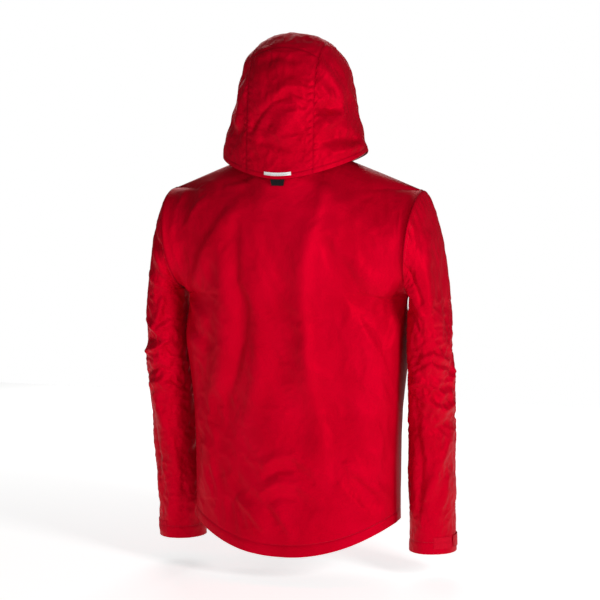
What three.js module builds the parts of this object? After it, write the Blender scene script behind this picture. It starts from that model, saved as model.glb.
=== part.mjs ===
// Hardshell jacket, men's size L, zipped up with the hood raised and hanging by its loop.
// Millimetres, +Z up. The wearer faces -Y and +X is the wearer's left.
// The origin is the spot under the hanger loop that bears on the hook.
import * as THREE from 'three';

// ---------------------------------------------------------------- driving sizes
const SEAM_GAP = 0.4; // between pieces that are sewn or fastened edge to edge
const LAYER_GAP = 0.4; // between layers that lie on one another
const SHELL = 1.6; // shell laminate
const LINING = 0.9; // lining fabric
const LINING_DEPTH = 6.0; // from the shell's outer face to the lining's

const BACK_LENGTH = 747; // nape to the lowest point of the drop tail
const TAIL_DROP = 62; // tail below the side seams
const FRONT_DROP = 8; // front hem below the side seams
const CHEST_HALF = 219; // half widths of the body
const WAIST_HALF = 207;
const HEM_HALF = 204;

const NECK_HALF = 80; // neck opening
const NECK_SIDE_Z = 20;
const NECK_FRONT_DROP = 85;
const NECK_RIDGE_Z = 113; // height at which the back and front would close over the neck

const ARMHOLE_X = 240; // centre of the armhole
const ARMHOLE_Y = -95;
const ARMHOLE_Z = -145;
const ARMHOLE_RADIUS = 98.7;
const ARMHOLE_TILT = THREE.MathUtils.degToRad(7); // the ring leans in at the armpit

const RIDGE_Y = -75; // shoulder line at the neck
const ZIP_TOP = [-170, 25]; // y and z of the centre front line at the collar's top
const ZIP_HEM = [-225, -730];

const SLEEVE_LENGTH = 700; // shoulder tip to cuff
const ELBOW_FROM = 0.166; // the part of the sleeve that creases, as shares of the way from armpit to cuff
const ELBOW_TO = 0.446;

const COLLAR_TOP_BACK = 62;
const COLLAR_TOP_FRONT = 25;
const COLLAR_THICK = 2.6;
const COLLAR_BACK_REACH = 84; // collar's top edge behind the neck's centre
const NECK_CENTRE_Y = -84;

const HOOD_TOP = 250;
const HOOD_EQUATOR_Z = 95;
const HOOD_CENTRE_Y = -85;
const HOOD_HALF = 115;
const HOOD_BASE_HALF = 143;
const HOOD_BACK_DEPTH = 110;
const HOOD_FRONT_DEPTH = 150;
const HOOD_CHIN_DEPTH = 94;
const HOOD_SEAM_X = 66; // half width of the hood's centre panels
const HOOD_FOLD_Z = 60; // the raised hood turns above this level
const HOOD_BACK_EDGE_Z = -25;
const HOOD_SIDE_EDGE_Z = 26;
const HOOD_CHIN_EDGE_Z = 2;
const BRIM_THICK = 2.4;

const EDGE_HALF = 62; // front edge strips, from the zip to their fold
const ZIP_SLOT = 3.8; // fabric edge to the centre of the zip
const ZIP_TOP_Z = 21;

const POCKET_TOP_X = 122; // from the centre front to the hand pocket's upper and lower end
const POCKET_END_X = 150;
const POCKET_ABOVE_HEM = 85; // lower end above the side seam's hem
const POCKET_RISE = 160; // height of its opening

const CUFF_DEPTH = 30;
const CUFF_FACING = 1.2;
const TAB_ROWS = [10, 34]; // cuff tab's edges above the cuff's
const TAB_THICK = 1.6;
const LOOP_THICK = 0.9; // the patch that the tab closes on
const LABEL_THICK = 0.5;
const GUARD_THICK = 1.1; // chin guard
const NECK_BAND = 1; // band that joins the hood's foot to the neck seam
const BINDING = 1; // tape inside the face opening
const STRIP_THICK = 0.4; // reflective strip

// ---------------------------------------------------------------- finishes
const shellRed = { color: 0xb5001c, roughness: 0.62, metalness: 0 };
const liningRed = { color: 0x7d0a18, roughness: 0.85, metalness: 0 };
const trimBlack = { color: 0x141416, roughness: 0.7, metalness: 0 };
const zipBlack = { color: 0x1b1b1e, roughness: 0.5, metalness: 0 };
const metalGrey = { color: 0x4c4d52, roughness: 0.35, metalness: 0.9 };
const paleGrey = { color: 0xd8d8d6, roughness: 0.4, metalness: 0.1 };
const labelWhite = { color: 0xe9e8e3, roughness: 0.8, metalness: 0 };

// ---------------------------------------------------------------- small mathematics
const { lerp, clamp, smoothstep } = THREE.MathUtils;
const V = (x, y, z) => new THREE.Vector3(x, y, z);

// evenly spaced stations from a to b, ends included
const spread = (a, b, n) => Array.from({ length: n + 1 }, (_, i) => lerp(a, b, i / n));

// stations that crowd towards b
const crowd = (a, b, n) => spread(0, Math.PI / 2, n).map((turn) => lerp(a, b, Math.sin(turn)));

// the same stations with the first and last moved in by a share of their own interval
const inset = (list, a, b) => [
  lerp(list[0], list[1], a), ...list.slice(1, -1), lerp(list.at(-1), list.at(-2), b),
];

// a smooth curve through [position, value, value...] stations in rising order of position
function through(stations) {
  const slope = (i, c) => {
    const a = stations[Math.max(i - 1, 0)];
    const b = stations[Math.min(i + 1, stations.length - 1)];
    return (b[c] - a[c]) / (b[0] - a[0]);
  };
  return (s, c = 1) => {
    const last = stations.length - 2;
    let i = stations.findIndex((p) => p[0] > s) - 1;
    i = i === -2 ? last : clamp(i, 0, last);
    const [a, b] = [stations[i], stations[i + 1]];
    const h = b[0] - a[0];
    const t = clamp((s - a[0]) / h, 0, 1);
    const t2 = t * t;
    const t3 = t2 * t;
    return (2 * t3 - 3 * t2 + 1) * a[c] + (t3 - 2 * t2 + t) * h * slope(i, c)
      + (3 * t2 - 2 * t3) * b[c] + (t3 - t2) * h * slope(i + 1, c);
  };
}

// ---------------------------------------------------------------- solids from surfaces
function solidFrom(points, triangles) {
  const geometry = new THREE.BufferGeometry();
  const flat = points.flatMap((p) => [p.x, p.y, p.z]);
  geometry.setAttribute('position', new THREE.Float32BufferAttribute(flat, 3));
  geometry.setIndex(triangles);
  geometry.computeVertexNormals();
  return geometry;
}

// A grid of surface points thickened between two offsets, as one closed body. Offsets are outward from
// inside(point); square(normal, i, j, point) may turn a normal so that the edge faces lie in a plane,
// and keep(point) may hold an offset point on its own side of a seam.
function thicken(grid, closed, outer, inner, inside, square, keep = (p) => p) {
  const nu = grid.length;
  const nv = grid[0].length;
  const at = (i, j) => grid[closed ? (i + nu) % nu : clamp(i, 0, nu - 1)][clamp(j, 0, nv - 1)];
  const normals = grid.map((column, i) => column.map((p, j) => {
    const du = at(i + 1, j).clone().sub(at(i - 1, j));
    const dv = at(i, j + 1).clone().sub(at(i, j - 1));
    return du.cross(dv).normalize();
  }));
  const mi = Math.floor(nu / 2);
  const mj = Math.floor(nv / 2);
  const middle = grid[mi][mj];
  const flip = normals[mi][mj].dot(middle.clone().sub(inside(middle))) < 0;
  const points = [];
  for (const offset of [outer, inner]) {
    grid.forEach((column, i) => column.forEach((p, j) => {
      const n = normals[i][j].clone().multiplyScalar(flip ? -1 : 1);
      if (square) square(n, i, j, p);
      points.push(keep(p.clone().addScaledVector(n.normalize(), offset)));
    }));
  }
  const id = (layer, i, j) => layer * nu * nv + (closed ? i % nu : i) * nv + j;
  const triangles = [];
  const quad = (a, b, c, d) => (flip ? triangles.push(a, c, b, a, d, c) : triangles.push(a, b, c, a, c, d));
  const columns = closed ? nu : nu - 1;
  for (let i = 0; i < columns; i++) {
    for (let j = 0; j < nv - 1; j++) {
      quad(id(0, i, j), id(0, i + 1, j), id(0, i + 1, j + 1), id(0, i, j + 1));
      quad(id(1, i, j), id(1, i, j + 1), id(1, i + 1, j + 1), id(1, i + 1, j));
    }
    quad(id(0, i, 0), id(1, i, 0), id(1, i + 1, 0), id(0, i + 1, 0));
    quad(id(0, i, nv - 1), id(0, i + 1, nv - 1), id(1, i + 1, nv - 1), id(1, i, nv - 1));
  }
  for (let j = 0; !closed && j < nv - 1; j++) {
    quad(id(0, 0, j), id(0, 0, j + 1), id(1, 0, j + 1), id(1, 0, j));
    quad(id(0, nu - 1, j), id(1, nu - 1, j), id(1, nu - 1, j + 1), id(0, nu - 1, j + 1));
  }
  return solidFrom(points, triangles);
}

const panel = (point, us, vs, outer, inner, inside, square, keep) =>
  thicken(us.map((u) => vs.map((v) => point(u, v))), false, outer, inner, inside, square, keep);

const tube = (point, sides, vs, outer, inner, inside, square) =>
  thicken(spread(0, 2 * Math.PI, sides).slice(0, -1).map((u) => vs.map((v) => point(u, v))),
    true, outer, inner, inside, square);

// a block between two corners
function block(a, b) {
  const size = [0, 1, 2].map((i) => Math.abs(b[i] - a[i]));
  return new THREE.BoxGeometry(...size).translate(...[0, 1, 2].map((i) => (a[i] + b[i]) / 2));
}

const jacket = new THREE.Group();

function add(name, geometry, finish, parent = jacket) {
  const mesh = new THREE.Mesh(geometry, new THREE.MeshStandardMaterial(finish));
  mesh.name = name;
  parent.add(mesh);
  return mesh;
}

const SIDES = [['left', 1], ['right', -1]];

// ---------------------------------------------------------------- the body's surface
const tipX = ARMHOLE_X + ARMHOLE_RADIUS * Math.sin(ARMHOLE_TILT);
const tipZ = ARMHOLE_Z + ARMHOLE_RADIUS * Math.cos(ARMHOLE_TILT);
const armpitX = ARMHOLE_X - ARMHOLE_RADIUS * Math.sin(ARMHOLE_TILT);
const armpitZ = ARMHOLE_Z - ARMHOLE_RADIUS * Math.cos(ARMHOLE_TILT);
const hemSideZ = TAIL_DROP - BACK_LENGTH;

// heights on the body, as shares of the back's length below the nape
const down = (share) => -BACK_LENGTH * share;
const bodySide = through([[down(1), HEM_HALF], [down(0.83), HEM_HALF], [down(0.67), WAIST_HALF],
  [down(0.442), CHEST_HALF], [armpitZ - 14, armpitX - 5], [armpitZ, armpitX]]);

function halfWidth(z) {
  if (z < armpitZ) return bodySide(z);
  return Math.min(ARMHOLE_X + (z - ARMHOLE_Z) * Math.tan(ARMHOLE_TILT), tipX);
}

const frontLine = (z) => lerp(ZIP_HEM[0], ZIP_TOP[0], (z - ZIP_HEM[1]) / (ZIP_TOP[1] - ZIP_HEM[1]));
const backDepth = through([[down(1), 87], [down(0.8), 82], [down(0.6), 82], [down(0.4), 96], [down(0.2), 107],
  [0, 88], [60, 86]]);
const ridge = (x) => lerp(RIDGE_Y, ARMHOLE_Y, smoothstep(Math.abs(x), 0, tipX));
const shoulderLine = (x) => lerp(NECK_SIDE_Z, tipZ, (Math.abs(x) - NECK_HALF) / (tipX - NECK_HALF));

function ridgeHeight(x) {
  const q = Math.min((x / NECK_HALF) ** 2, 1);
  return Math.abs(x) > NECK_HALF ? shoulderLine(x) : NECK_SIDE_Z * q + NECK_RIDGE_Z * (1 - q) ** 2;
}

// y of the shell's outer face; side is +1 on the back and -1 on the front
function bodyY(side, x, z) {
  const u = Math.min(Math.abs(x) / halfWidth(z), 1);
  const boxy = lerp(2.4, 4, smoothstep(z, down(0.643), armpitZ));
  const sideRound = (1 - u ** boxy) ** (1 / boxy);
  const t = clamp((ridgeHeight(x) - z) / lerp(180, 110, Math.abs(x) / tipX), 0, 1);
  const shoulderRound = (1 - (1 - t) ** 2.4) ** (1 / 2.4);
  const depth = side > 0 ? backDepth(z) : RIDGE_Y - frontLine(z);
  const across = (z - ARMHOLE_Z) / Math.cos(ARMHOLE_TILT);
  const chord = Math.sqrt(Math.max(ARMHOLE_RADIUS ** 2 - across ** 2, 0));
  const k = u ** 6 * smoothstep(z, armpitZ - 110, armpitZ);
  return ridge(x) + side * (SEAM_GAP / 2 + (1 - k) * depth * sideRound * shoulderRound + k * chord);
}

const backHem = (u) => -BACK_LENGTH + TAIL_DROP * Math.abs(u) ** 2.2;
const frontHem = (u) => hemSideZ - FRONT_DROP * (1 - u * u);
const neckBackZ = (x) => NECK_SIDE_Z * (x / NECK_HALF) ** 2;
const neckFrontZ = (x) => NECK_SIDE_Z - NECK_FRONT_DROP * Math.sqrt(Math.max(1 - (x / NECK_HALF) ** 2, 0));

function bodyTop(side, x) {
  if (Math.abs(x) > NECK_HALF) return shoulderLine(x);
  return side > 0 ? neckBackZ(x) : neckFrontZ(x);
}

// u runs across the body from -1 to 1 and v up from the hem
function bodyPoint(side, u, v) {
  const hem = side > 0 ? backHem(u) : frontHem(u);
  const z = lerp(hem, bodyTop(side, u * tipX), v);
  const x = u * halfWidth(z);
  return V(x, bodyY(side, x, z), z);
}

const spine = (p) => V(0, ridge(p.x), Math.min(p.z, ridgeHeight(p.x) - 90));
const armholeAxis = (sx) => V(sx * Math.cos(ARMHOLE_TILT), 0, -Math.sin(ARMHOLE_TILT));

// holds a layer's points on its own side of the side and shoulder seams
const keepSide = (side) => (p) => {
  const seam = ridge(p.x) + (side * SEAM_GAP) / 2;
  p.y = side > 0 ? Math.max(p.y, seam) : Math.min(p.y, seam);
  return p;
};

// At the armholes, shoulder seams and side seams a panel's edge face lies in the seam's own plane.
function squareBodyEdge(us, vs) {
  return (n, i, j, p) => {
    const u = us[i];
    if (vs[j] === 1 && Math.abs(p.x) > NECK_HALF - 1) n.y = 0;
    if (Math.abs(u) !== 1) return;
    if (p.z > armpitZ) {
      const a = armholeAxis(Math.sign(u));
      n.addScaledVector(a, -n.dot(a));
    } else n.y = 0;
    if (n.length() < 0.1) n.set(0, 0, 1);
  };
}

const neckU = NECK_HALF / tipX;
const armpitV = (armpitZ - hemSideZ) / (tipZ - hemSideZ);
const upRows = (n, m) => [...spread(0, armpitV, n), ...crowd(armpitV, 1, m).slice(1)];
const sideColumns = (from, n) => crowd(from, 1, n);
const LINING_HEM = 0.35; // the lining stops short of its first and last row by these shares of a row
const LINING_TOP = 0.5;
const hemFacingRows = (vs) => [vs[1] * 0.03, vs[1] * 0.6];

// ---------------------------------------------------------------- back and front panels, lining
{
  const half = [...spread(0, neckU, 4), ...sideColumns(neckU, 6).slice(1)];
  const us = [...half.slice(1).map((u) => -u).reverse(), ...half];
  const vs = upRows(7, 8);
  const back = (u, v) => bodyPoint(1, u, v);
  add('back_panel', panel(back, us, vs, 0, -SHELL, spine, squareBodyEdge(us, vs), keepSide(1)), shellRed);
  const within = us.slice(1, -1);
  const inner = inset(vs.slice(0, -1), LINING_HEM, LINING_TOP);
  add('lining_back', panel(back, within, inner, -LINING_DEPTH, -LINING_DEPTH - LINING, spine, null,
    keepSide(1)), liningRed);
  const labelDepth = -LINING_DEPTH - LINING - LAYER_GAP;
  const labelRows = spread(0.885, 0.935, 2); // just under the nape
  add('care_label', panel(back, [-neckU / 4, 0, neckU / 4], labelRows, labelDepth,
    labelDepth - LABEL_THICK, spine), labelWhite);
  add('hem_facing_back', panel(back, within, hemFacingRows(vs), -SHELL - LAYER_GAP,
    LAYER_GAP - LINING_DEPTH, spine), trimBlack);
}

// Front surface by its distance x from the centre line, for the pieces that follow the zip.
function frontAt(x, v, top = neckFrontZ(x), hem = hemSideZ - FRONT_DROP) {
  const z = lerp(hem, top, v);
  return V(x, bodyY(-1, x, z), z);
}

for (const [name, sx] of SIDES) {
  const start = EDGE_HALF + SEAM_GAP;
  // from the fold line of the front edge to the side seam, whatever the body's width at that height
  const front = (u, v) => {
    const foldU = start / tipX;
    const w = (u - foldU) / (1 - foldU);
    const hem = frontHem(u);
    const z = lerp(hem, bodyTop(-1, u * tipX), v);
    const x = sx * lerp(start, halfWidth(z), w);
    return V(x, bodyY(-1, x, z), z);
  };
  const us = [...spread(start / tipX, neckU, 1), ...sideColumns(neckU, 7).slice(1)];
  const vs = upRows(7, 8);
  const square = squareBodyEdge(us.map((u) => sx * u), vs);
  const edge = (n, i, j, p) => {
    square(n, i, j, p);
    if (i === 0) n.x = 0;
  };
  add(`front_panel_${name}`, panel(front, us, vs, 0, -SHELL, spine, edge, keepSide(-1)), shellRed);
  const within = us.slice(1, -1);
  const inner = inset(vs.slice(0, -2), LINING_HEM, LINING_TOP);
  add(`pocket_bag_${name}`, panel(front, us.slice(2, 6), vs.slice(1, 5), -SHELL - LAYER_GAP,
    LAYER_GAP - LINING_DEPTH, spine), liningRed);
  add(`lining_front_${name}`, panel(front, within, inner, -LINING_DEPTH, -LINING_DEPTH - LINING, spine, null,
    keepSide(-1)), liningRed);
  add(`hem_facing_front_${name}`, panel(front, within, hemFacingRows(vs), -SHELL - LAYER_GAP,
    LAYER_GAP - LINING_DEPTH, spine), trimBlack);
}

// ---------------------------------------------------------------- collar
const neckRing = (sx, a) => {
  const x = sx * NECK_HALF * Math.sin(Math.PI * a);
  const front = a > 0.5;
  const z = front ? neckFrontZ(x) : neckBackZ(x);
  return V(x * (1 - SEAM_GAP / 30), bodyY(front ? -1 : 1, x, z), z + SEAM_GAP);
};

// a runs from the centre back (0) to the centre front (1), h from the neck seam up
function collarPoint(sx, a, h) {
  const base = neckRing(sx, a);
  const c = Math.cos(Math.PI * a);
  const lift = smoothstep(a, 0.5, 1);
  const frontReach = NECK_CENTRE_Y - frontLine(COLLAR_TOP_FRONT);
  const reach = c > 0 ? COLLAR_BACK_REACH : frontReach;
  const top = V(sx * (NECK_HALF + 2) * Math.sin(Math.PI * a), NECK_CENTRE_Y + reach * c,
    lerp(COLLAR_TOP_BACK, COLLAR_TOP_FRONT, lift));
  return base.lerp(top, h);
}

const neckAxis = (p) => V(0, NECK_CENTRE_Y, p.z);
const edgeA = 1 - Math.asin(EDGE_HALF / NECK_HALF) / Math.PI; // where the collar crosses the fold line
const COLLAR_SPLIT = 0.9; // each part of the collar stops this far from the fold line
const splitA = COLLAR_SPLIT / (Math.PI * NECK_HALF);
const zipA = 1 - Math.asin(ZIP_SLOT / NECK_HALF) / Math.PI;
{
  const half = spread(0, edgeA - splitA, 9);
  const around = [...half.slice(1).map((a) => -a).reverse(), ...half];
  const point = (a, h) => collarPoint(a < 0 ? -1 : 1, Math.abs(a), h);
  add('collar_back', panel(point, around, spread(0.01, 1, 3), 0, -COLLAR_THICK, neckAxis), shellRed);
}

// ---------------------------------------------------------------- front edges beside the zip
const zipAngle = Math.atan2(ZIP_TOP[0] - ZIP_HEM[0], ZIP_TOP[1] - ZIP_HEM[1]);
const zipBottomZ = hemSideZ - FRONT_DROP + 6;
const zipLength = (ZIP_TOP_Z - zipBottomZ) / Math.cos(zipAngle);

// The zip's own frame: its z runs up the centre front and its -y faces forward off the shell's outer face.
const zipLine = new THREE.Group();
zipLine.position.set(0, frontLine(zipBottomZ) - SEAM_GAP / 2, zipBottomZ);
zipLine.rotation.x = -zipAngle;
jacket.add(zipLine);

const TAPE_WIDTH = 14;
const COIL = [0.6, 3.0]; // from the centre line
const TAPE_FRONT = SHELL + 2; // the collar bends back from the zip by nearly 2 mm over the tape's width
const COIL_FRONT = 0.1;
const COIL_START = 12;
const COIL_SHORT = 4; // the coils end this far below the tapes' upper ends
const TAPE_THICK = 0.7;
const tapeBack = TAPE_FRONT + TAPE_THICK;

for (const [name, sx] of SIDES) {
  const strip = (x, v) => frontAt(sx * x, v);
  const straight = (n, i) => {
    if (i === 0 || i === 4) n.x = 0;
  };
  add(`front_edge_${name}`, panel(strip, spread(ZIP_SLOT, EDGE_HALF, 4), spread(0, 0.9985, 12), 0, -SHELL,
    spine, straight), shellRed);
  const collar = (a, h) => collarPoint(sx, a, h);
  add(`collar_front_${name}`, panel(collar, spread(edgeA + splitA, zipA, 4), spread(0.03, 1, 4), 0, -SHELL,
    neckAxis), shellRed);
  add(`zip_tape_${name}`, block([sx * COIL[0], TAPE_FRONT, 0], [sx * TAPE_WIDTH, tapeBack, zipLength]),
    zipBlack, zipLine);
  const coilEnd = [sx * COIL[1], TAPE_FRONT - LAYER_GAP, zipLength - COIL_SHORT];
  add(`zip_coil_${name}`, block([sx * COIL[0], COIL_FRONT, COIL_START], coilEnd), zipBlack, zipLine);
}

// The slider straddles the two coils: a front plate, a web between the coils and a rear plate.
const SLIDER_LENGTH = 12;
const SLIDER_HALF = 4.2;
const SLIDER_TOP = zipLength - 2;
const PLATE = 1.4;
const RUN_GAP = 0.3;

function sliderShape(half, front, back, web) {
  const outline = [[-half, front - PLATE], [half, front - PLATE], [half, front], [web, front], [web, back],
    [half, back], [half, back + PLATE], [-half, back + PLATE], [-half, back], [-web, back], [-web, front],
    [-half, front]];
  return new THREE.Shape(outline.map(([x, y]) => new THREE.Vector2(x, y)));
}

const sliderFront = -RUN_GAP;
zipLine.updateMatrixWorld(true);
{
  const shape = sliderShape(SLIDER_HALF, sliderFront, tapeBack + RUN_GAP, COIL[0] - RUN_GAP);
  const body = new THREE.ExtrudeGeometry(shape, { depth: SLIDER_LENGTH, bevelEnabled: false });
  body.translate(0, 0, SLIDER_TOP - SLIDER_LENGTH);
  add('zip_slider', body, metalGrey, zipLine);
}

// A puller is a flat tag that hangs in front of its slider's plate.
const PULLER = { half: 3, thick: 1.2, length: 26 };

function hangPuller(name, parent, plateFront, top) {
  const back = plateFront - RUN_GAP;
  const tag = [[-PULLER.half * 0.7, 0], [PULLER.half * 0.7, 0], [PULLER.half, -PULLER.length * 0.4],
    [PULLER.half, -PULLER.length], [-PULLER.half, -PULLER.length], [-PULLER.half, -PULLER.length * 0.4]];
  const shape = new THREE.Shape(tag.map(([x, z]) => new THREE.Vector2(x, z)));
  const geometry = new THREE.ExtrudeGeometry(shape, { depth: PULLER.thick, bevelEnabled: false });
  // the outline is drawn in x and z, so the plate's thickness turns to lie along y
  geometry.rotateX(Math.PI / 2).translate(0, back, top);
  return add(name, geometry, metalGrey, parent);
}
hangPuller('zip_puller', zipLine, sliderFront - PLATE, SLIDER_TOP - SLIDER_LENGTH / 2);

// the zip's foot, between the two tapes' ends
const FOOT_TOP = COIL_START - LAYER_GAP; // retainer box on the left tape, insertion pin on the right
const footBack = TAPE_FRONT - LAYER_GAP;
add('zip_box', block([0.4, COIL_FRONT, 1], [ZIP_SLOT - LAYER_GAP, footBack, FOOT_TOP]), metalGrey, zipLine);
add('zip_pin', block([-COIL[1], COIL_FRONT, 1], [-0.4, footBack, FOOT_TOP]), metalGrey, zipLine);

// The flap inside the zip ends at the neck seam. Its thick edge is sewn beside the left tape, and the rest
// lies behind the slider's path and the right tape.
{
  const FLAP = { left: 26, right: -24, front: tapeBack + 2.2, thick: 1.2 };
  const sewn = [TAPE_WIDTH + LAYER_GAP, SHELL + 2 * LAYER_GAP];
  const outline = [[FLAP.right, FLAP.front], [sewn[0], FLAP.front], sewn, [FLAP.left, sewn[1]],
    [FLAP.left, FLAP.front + FLAP.thick], [FLAP.right, FLAP.front + FLAP.thick]];
  const shape = new THREE.Shape(outline.map(([x, y]) => new THREE.Vector2(x, y)));
  const flap = new THREE.ExtrudeGeometry(shape, { depth: zipLength - 66, bevelEnabled: false });
  add('storm_flap', flap.translate(0, 0, 2), shellRed, zipLine);
}

// guard inside the collar over the zip's upper end
const guardDepth = -tapeBack - LAYER_GAP;
add('chin_guard', panel((a, h) => collarPoint(1, a, h), spread(zipA - 0.09, zipA - 0.006, 3),
  spread(0.55, 0.98, 3), guardDepth, guardDepth - GUARD_THICK, neckAxis), liningRed);

// ---------------------------------------------------------------- hanger loop and label
{
  const BAND = { half: 28, front: -4, back: 4, thick: 1.6, drop: 8 };
  const wall = bodyY(1, BAND.half, BAND.thick) - SHELL - 3 * LAYER_GAP; // the wall leans here
  // an arch: the ribbon's flat underside bears on the hook, and its two legs reach back to the neck seam
  const arch = new THREE.Shape([[-BAND.half, -BAND.drop], [BAND.thick - BAND.half, -BAND.drop],
    [BAND.thick - BAND.half, 0], [BAND.half - BAND.thick, 0], [BAND.half - BAND.thick, -BAND.drop],
    [BAND.half, -BAND.drop], [BAND.half, BAND.thick], [-BAND.half, BAND.thick]]
    .map(([x, z]) => new THREE.Vector2(x, z)));
  const loop = new THREE.ExtrudeGeometry(arch, { depth: wall - BAND.front, bevelEnabled: false });
  add('hanger_loop', loop.rotateX(Math.PI / 2).translate(0, wall, 0), trimBlack);
}

// ---------------------------------------------------------------- hand pockets
const POCKET_LINE = 1.6; // welt proud of the shell
const WELT_WIDTH = 9;
const WELT_PAST = 8; // the welt runs on past both ends of the opening
const ZIP_HALF = 2.2;
const pocketEndZ = hemSideZ + POCKET_ABOVE_HEM;

for (const [name, sx] of SIDES) {
  const onFront = ([x, z]) => V(sx * x, bodyY(-1, x, z), z);
  // a point of the shell's face beside the pocket's line: t runs from its lower to its upper end
  const beside = (t, dx) => onFront([lerp(POCKET_END_X, POCKET_TOP_X, t) + dx, pocketEndZ + t * POCKET_RISE]);
  const top = beside(1, 0);
  const end = beside(0, 0);
  const along = top.clone().sub(end).normalize();
  const outward = along.clone().cross(beside(0.5, -WELT_WIDTH).sub(beside(0.5, WELT_WIDTH))).normalize();
  if (outward.y > 0) outward.negate();
  const across = outward.clone().cross(along).negate();
  const length = top.distanceTo(end);
  // the straight pieces stand on the shell's highest point under them
  const past = WELT_PAST / length;
  const edges = [-ZIP_HALF, ZIP_HALF, WELT_WIDTH];
  const under = spread(-past, 1 + past, 10).flatMap((t) => edges.map((dx) => beside(t, dx)));
  const bulge = Math.max(...under.map((p) => p.sub(end).dot(outward)));
  // the pocket's frame: z up along its opening, -y outward from the shell
  const pocket = new THREE.Group();
  const basis = new THREE.Matrix4().makeBasis(across, outward.clone().negate(), along);
  pocket.quaternion.setFromRotationMatrix(basis);
  pocket.position.copy(end).addScaledVector(outward, bulge + LAYER_GAP);
  jacket.add(pocket);
  const zipFront = -POCKET_LINE;
  add(`pocket_welt_${name}`, block([sx * (ZIP_HALF + LAYER_GAP), -POCKET_LINE, -WELT_PAST],
    [sx * WELT_WIDTH, 0, length + WELT_PAST]), shellRed, pocket);
  add(`pocket_zip_${name}`, block([-ZIP_HALF, -POCKET_LINE, -4], [ZIP_HALF, 0, length + 4]), zipBlack,
    pocket);
  const slider = block([-3.6, zipFront - RUN_GAP - 2.4, length - 12], [3.6, zipFront - RUN_GAP, length]);
  add(`pocket_slider_${name}`, slider, metalGrey, pocket);
  hangPuller(`pocket_puller_${name}`, pocket, zipFront - RUN_GAP - 2.4, length - 5);
}

// ---------------------------------------------------------------- sleeves
// Across a sleeve the angle runs from its outer side (0) over the back (90 degrees) to the body side (180).
const cuffZ = tipZ - SLEEVE_LENGTH;
const sleeveTop = armpitZ - 4; // the first level ring, just below the armhole
const sleeveDown = (share) => lerp(sleeveTop, cuffZ, share);
const sleeve = through([
  // height, centre x, centre y, half width across the body, half depth front to back
  [cuffZ, ARMHOLE_X + 20, ARMHOLE_Y - 56, 45.5, 53],
  [sleeveDown(0.806), ARMHOLE_X + 21, ARMHOLE_Y - 46, 44.5, 56],
  [sleeveDown(0.586), ARMHOLE_X + 23, ARMHOLE_Y - 32, 43.5, 60],
  [sleeveDown(0.366), ARMHOLE_X + 26, ARMHOLE_Y - 17, 43, 66],
  [sleeveDown(ELBOW_FROM), ARMHOLE_X + 26, ARMHOLE_Y - 5, 41, 71],
  [sleeveTop, ARMHOLE_X + 24.8, ARMHOLE_Y - 2, 36.2, 78],
]);
const elbowTop = sleeveDown(ELBOW_FROM);
const elbowEnd = sleeveDown(ELBOW_TO);
const CAP_ROWS = 7;

function sleeveRing(sx, angle, z) {
  const x = sleeve(z, 1) + sleeve(z, 3) * Math.cos(angle);
  return V(sx * x, sleeve(z, 2) + sleeve(z, 4) * Math.sin(angle), z);
}

// row 0 is the armhole seam, row CAP_ROWS the first level ring; past it rows are heights
function sleevePoint(sx, angle, row) {
  if (row < 0) return sleeveRing(sx, angle, row);
  const t = row / CAP_ROWS;
  const axis = armholeAxis(sx);
  const up = V(sx * Math.sin(ARMHOLE_TILT), 0, Math.cos(ARMHOLE_TILT));
  const a = V(sx * ARMHOLE_X, ARMHOLE_Y, ARMHOLE_Z).addScaledVector(axis, SEAM_GAP)
    .addScaledVector(up, ARMHOLE_RADIUS * Math.cos(angle)).add(V(0, ARMHOLE_RADIUS * Math.sin(angle), 0));
  const b = sleeveRing(sx, angle, sleeveTop);
  const control = V(lerp(a.x, b.x, 0.55), lerp(a.y, b.y, 0.5), lerp(a.z, b.z, 0.2));
  return new THREE.QuadraticBezierCurve3(a, control, b).getPoint(t);
}

const sleeveCore = (p) => V(Math.sign(p.x) * sleeve(Math.min(p.z, sleeveTop), 1),
  sleeve(Math.min(p.z, armpitZ), 2), Math.min(p.z, ARMHOLE_Z));
const SLEEVE_SIDES = 20;

for (const [name, sx] of SIDES) {
  const point = (angle, row) => sleevePoint(sx, angle, row);
  const flatStart = (n, i, j) => {
    if (j === 0) n.addScaledVector(armholeAxis(sx), -n.dot(armholeAxis(sx)));
  };
  const level = (n) => n.setZ(n.z * 0.2);
  const capRows = [...spread(0, CAP_ROWS, CAP_ROWS), ...spread(sleeveTop - 36, elbowTop, 1)];
  add(`upper_sleeve_${name}`, tube(point, SLEEVE_SIDES, capRows, 0, -SHELL, sleeveCore, flatStart), shellRed);
  add(`elbow_${name}`, tube(point, SLEEVE_SIDES, spread(elbowTop - SEAM_GAP, elbowEnd, 4), 0, -SHELL,
    sleeveCore, level), shellRed);
  const forearm = spread(elbowEnd - SEAM_GAP, cuffZ, 6);
  add(`forearm_${name}`, tube(point, SLEEVE_SIDES, forearm, 0, -SHELL, sleeveCore, level), shellRed);
  const facing = [lerp(forearm.at(-1), forearm.at(-2), 0.01), cuffZ + CUFF_DEPTH].reverse();
  add(`cuff_facing_${name}`, tube(point, SLEEVE_SIDES, facing, -SHELL - LAYER_GAP,
    -SHELL - LAYER_GAP - CUFF_FACING, sleeveCore, level), trimBlack);
  // hook-and-loop tab on the outer side of the cuff, and the loop patch that it closes on
  const step = (2 * Math.PI) / SLEEVE_SIDES;
  const tabRows = TAB_ROWS.map((rise) => cuffZ + rise);
  const onCuff = (from, to, n, thick) => panel(point, spread(from * step, to * step, n), tabRows,
    LAYER_GAP + thick, LAYER_GAP, sleeveCore, level);
  add(`cuff_tab_${name}`, onCuff(-3, 1, 4, TAB_THICK), trimBlack);
  add(`cuff_loop_patch_${name}`, onCuff(1.1, 4, 3, LOOP_THICK), trimBlack);
}

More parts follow.
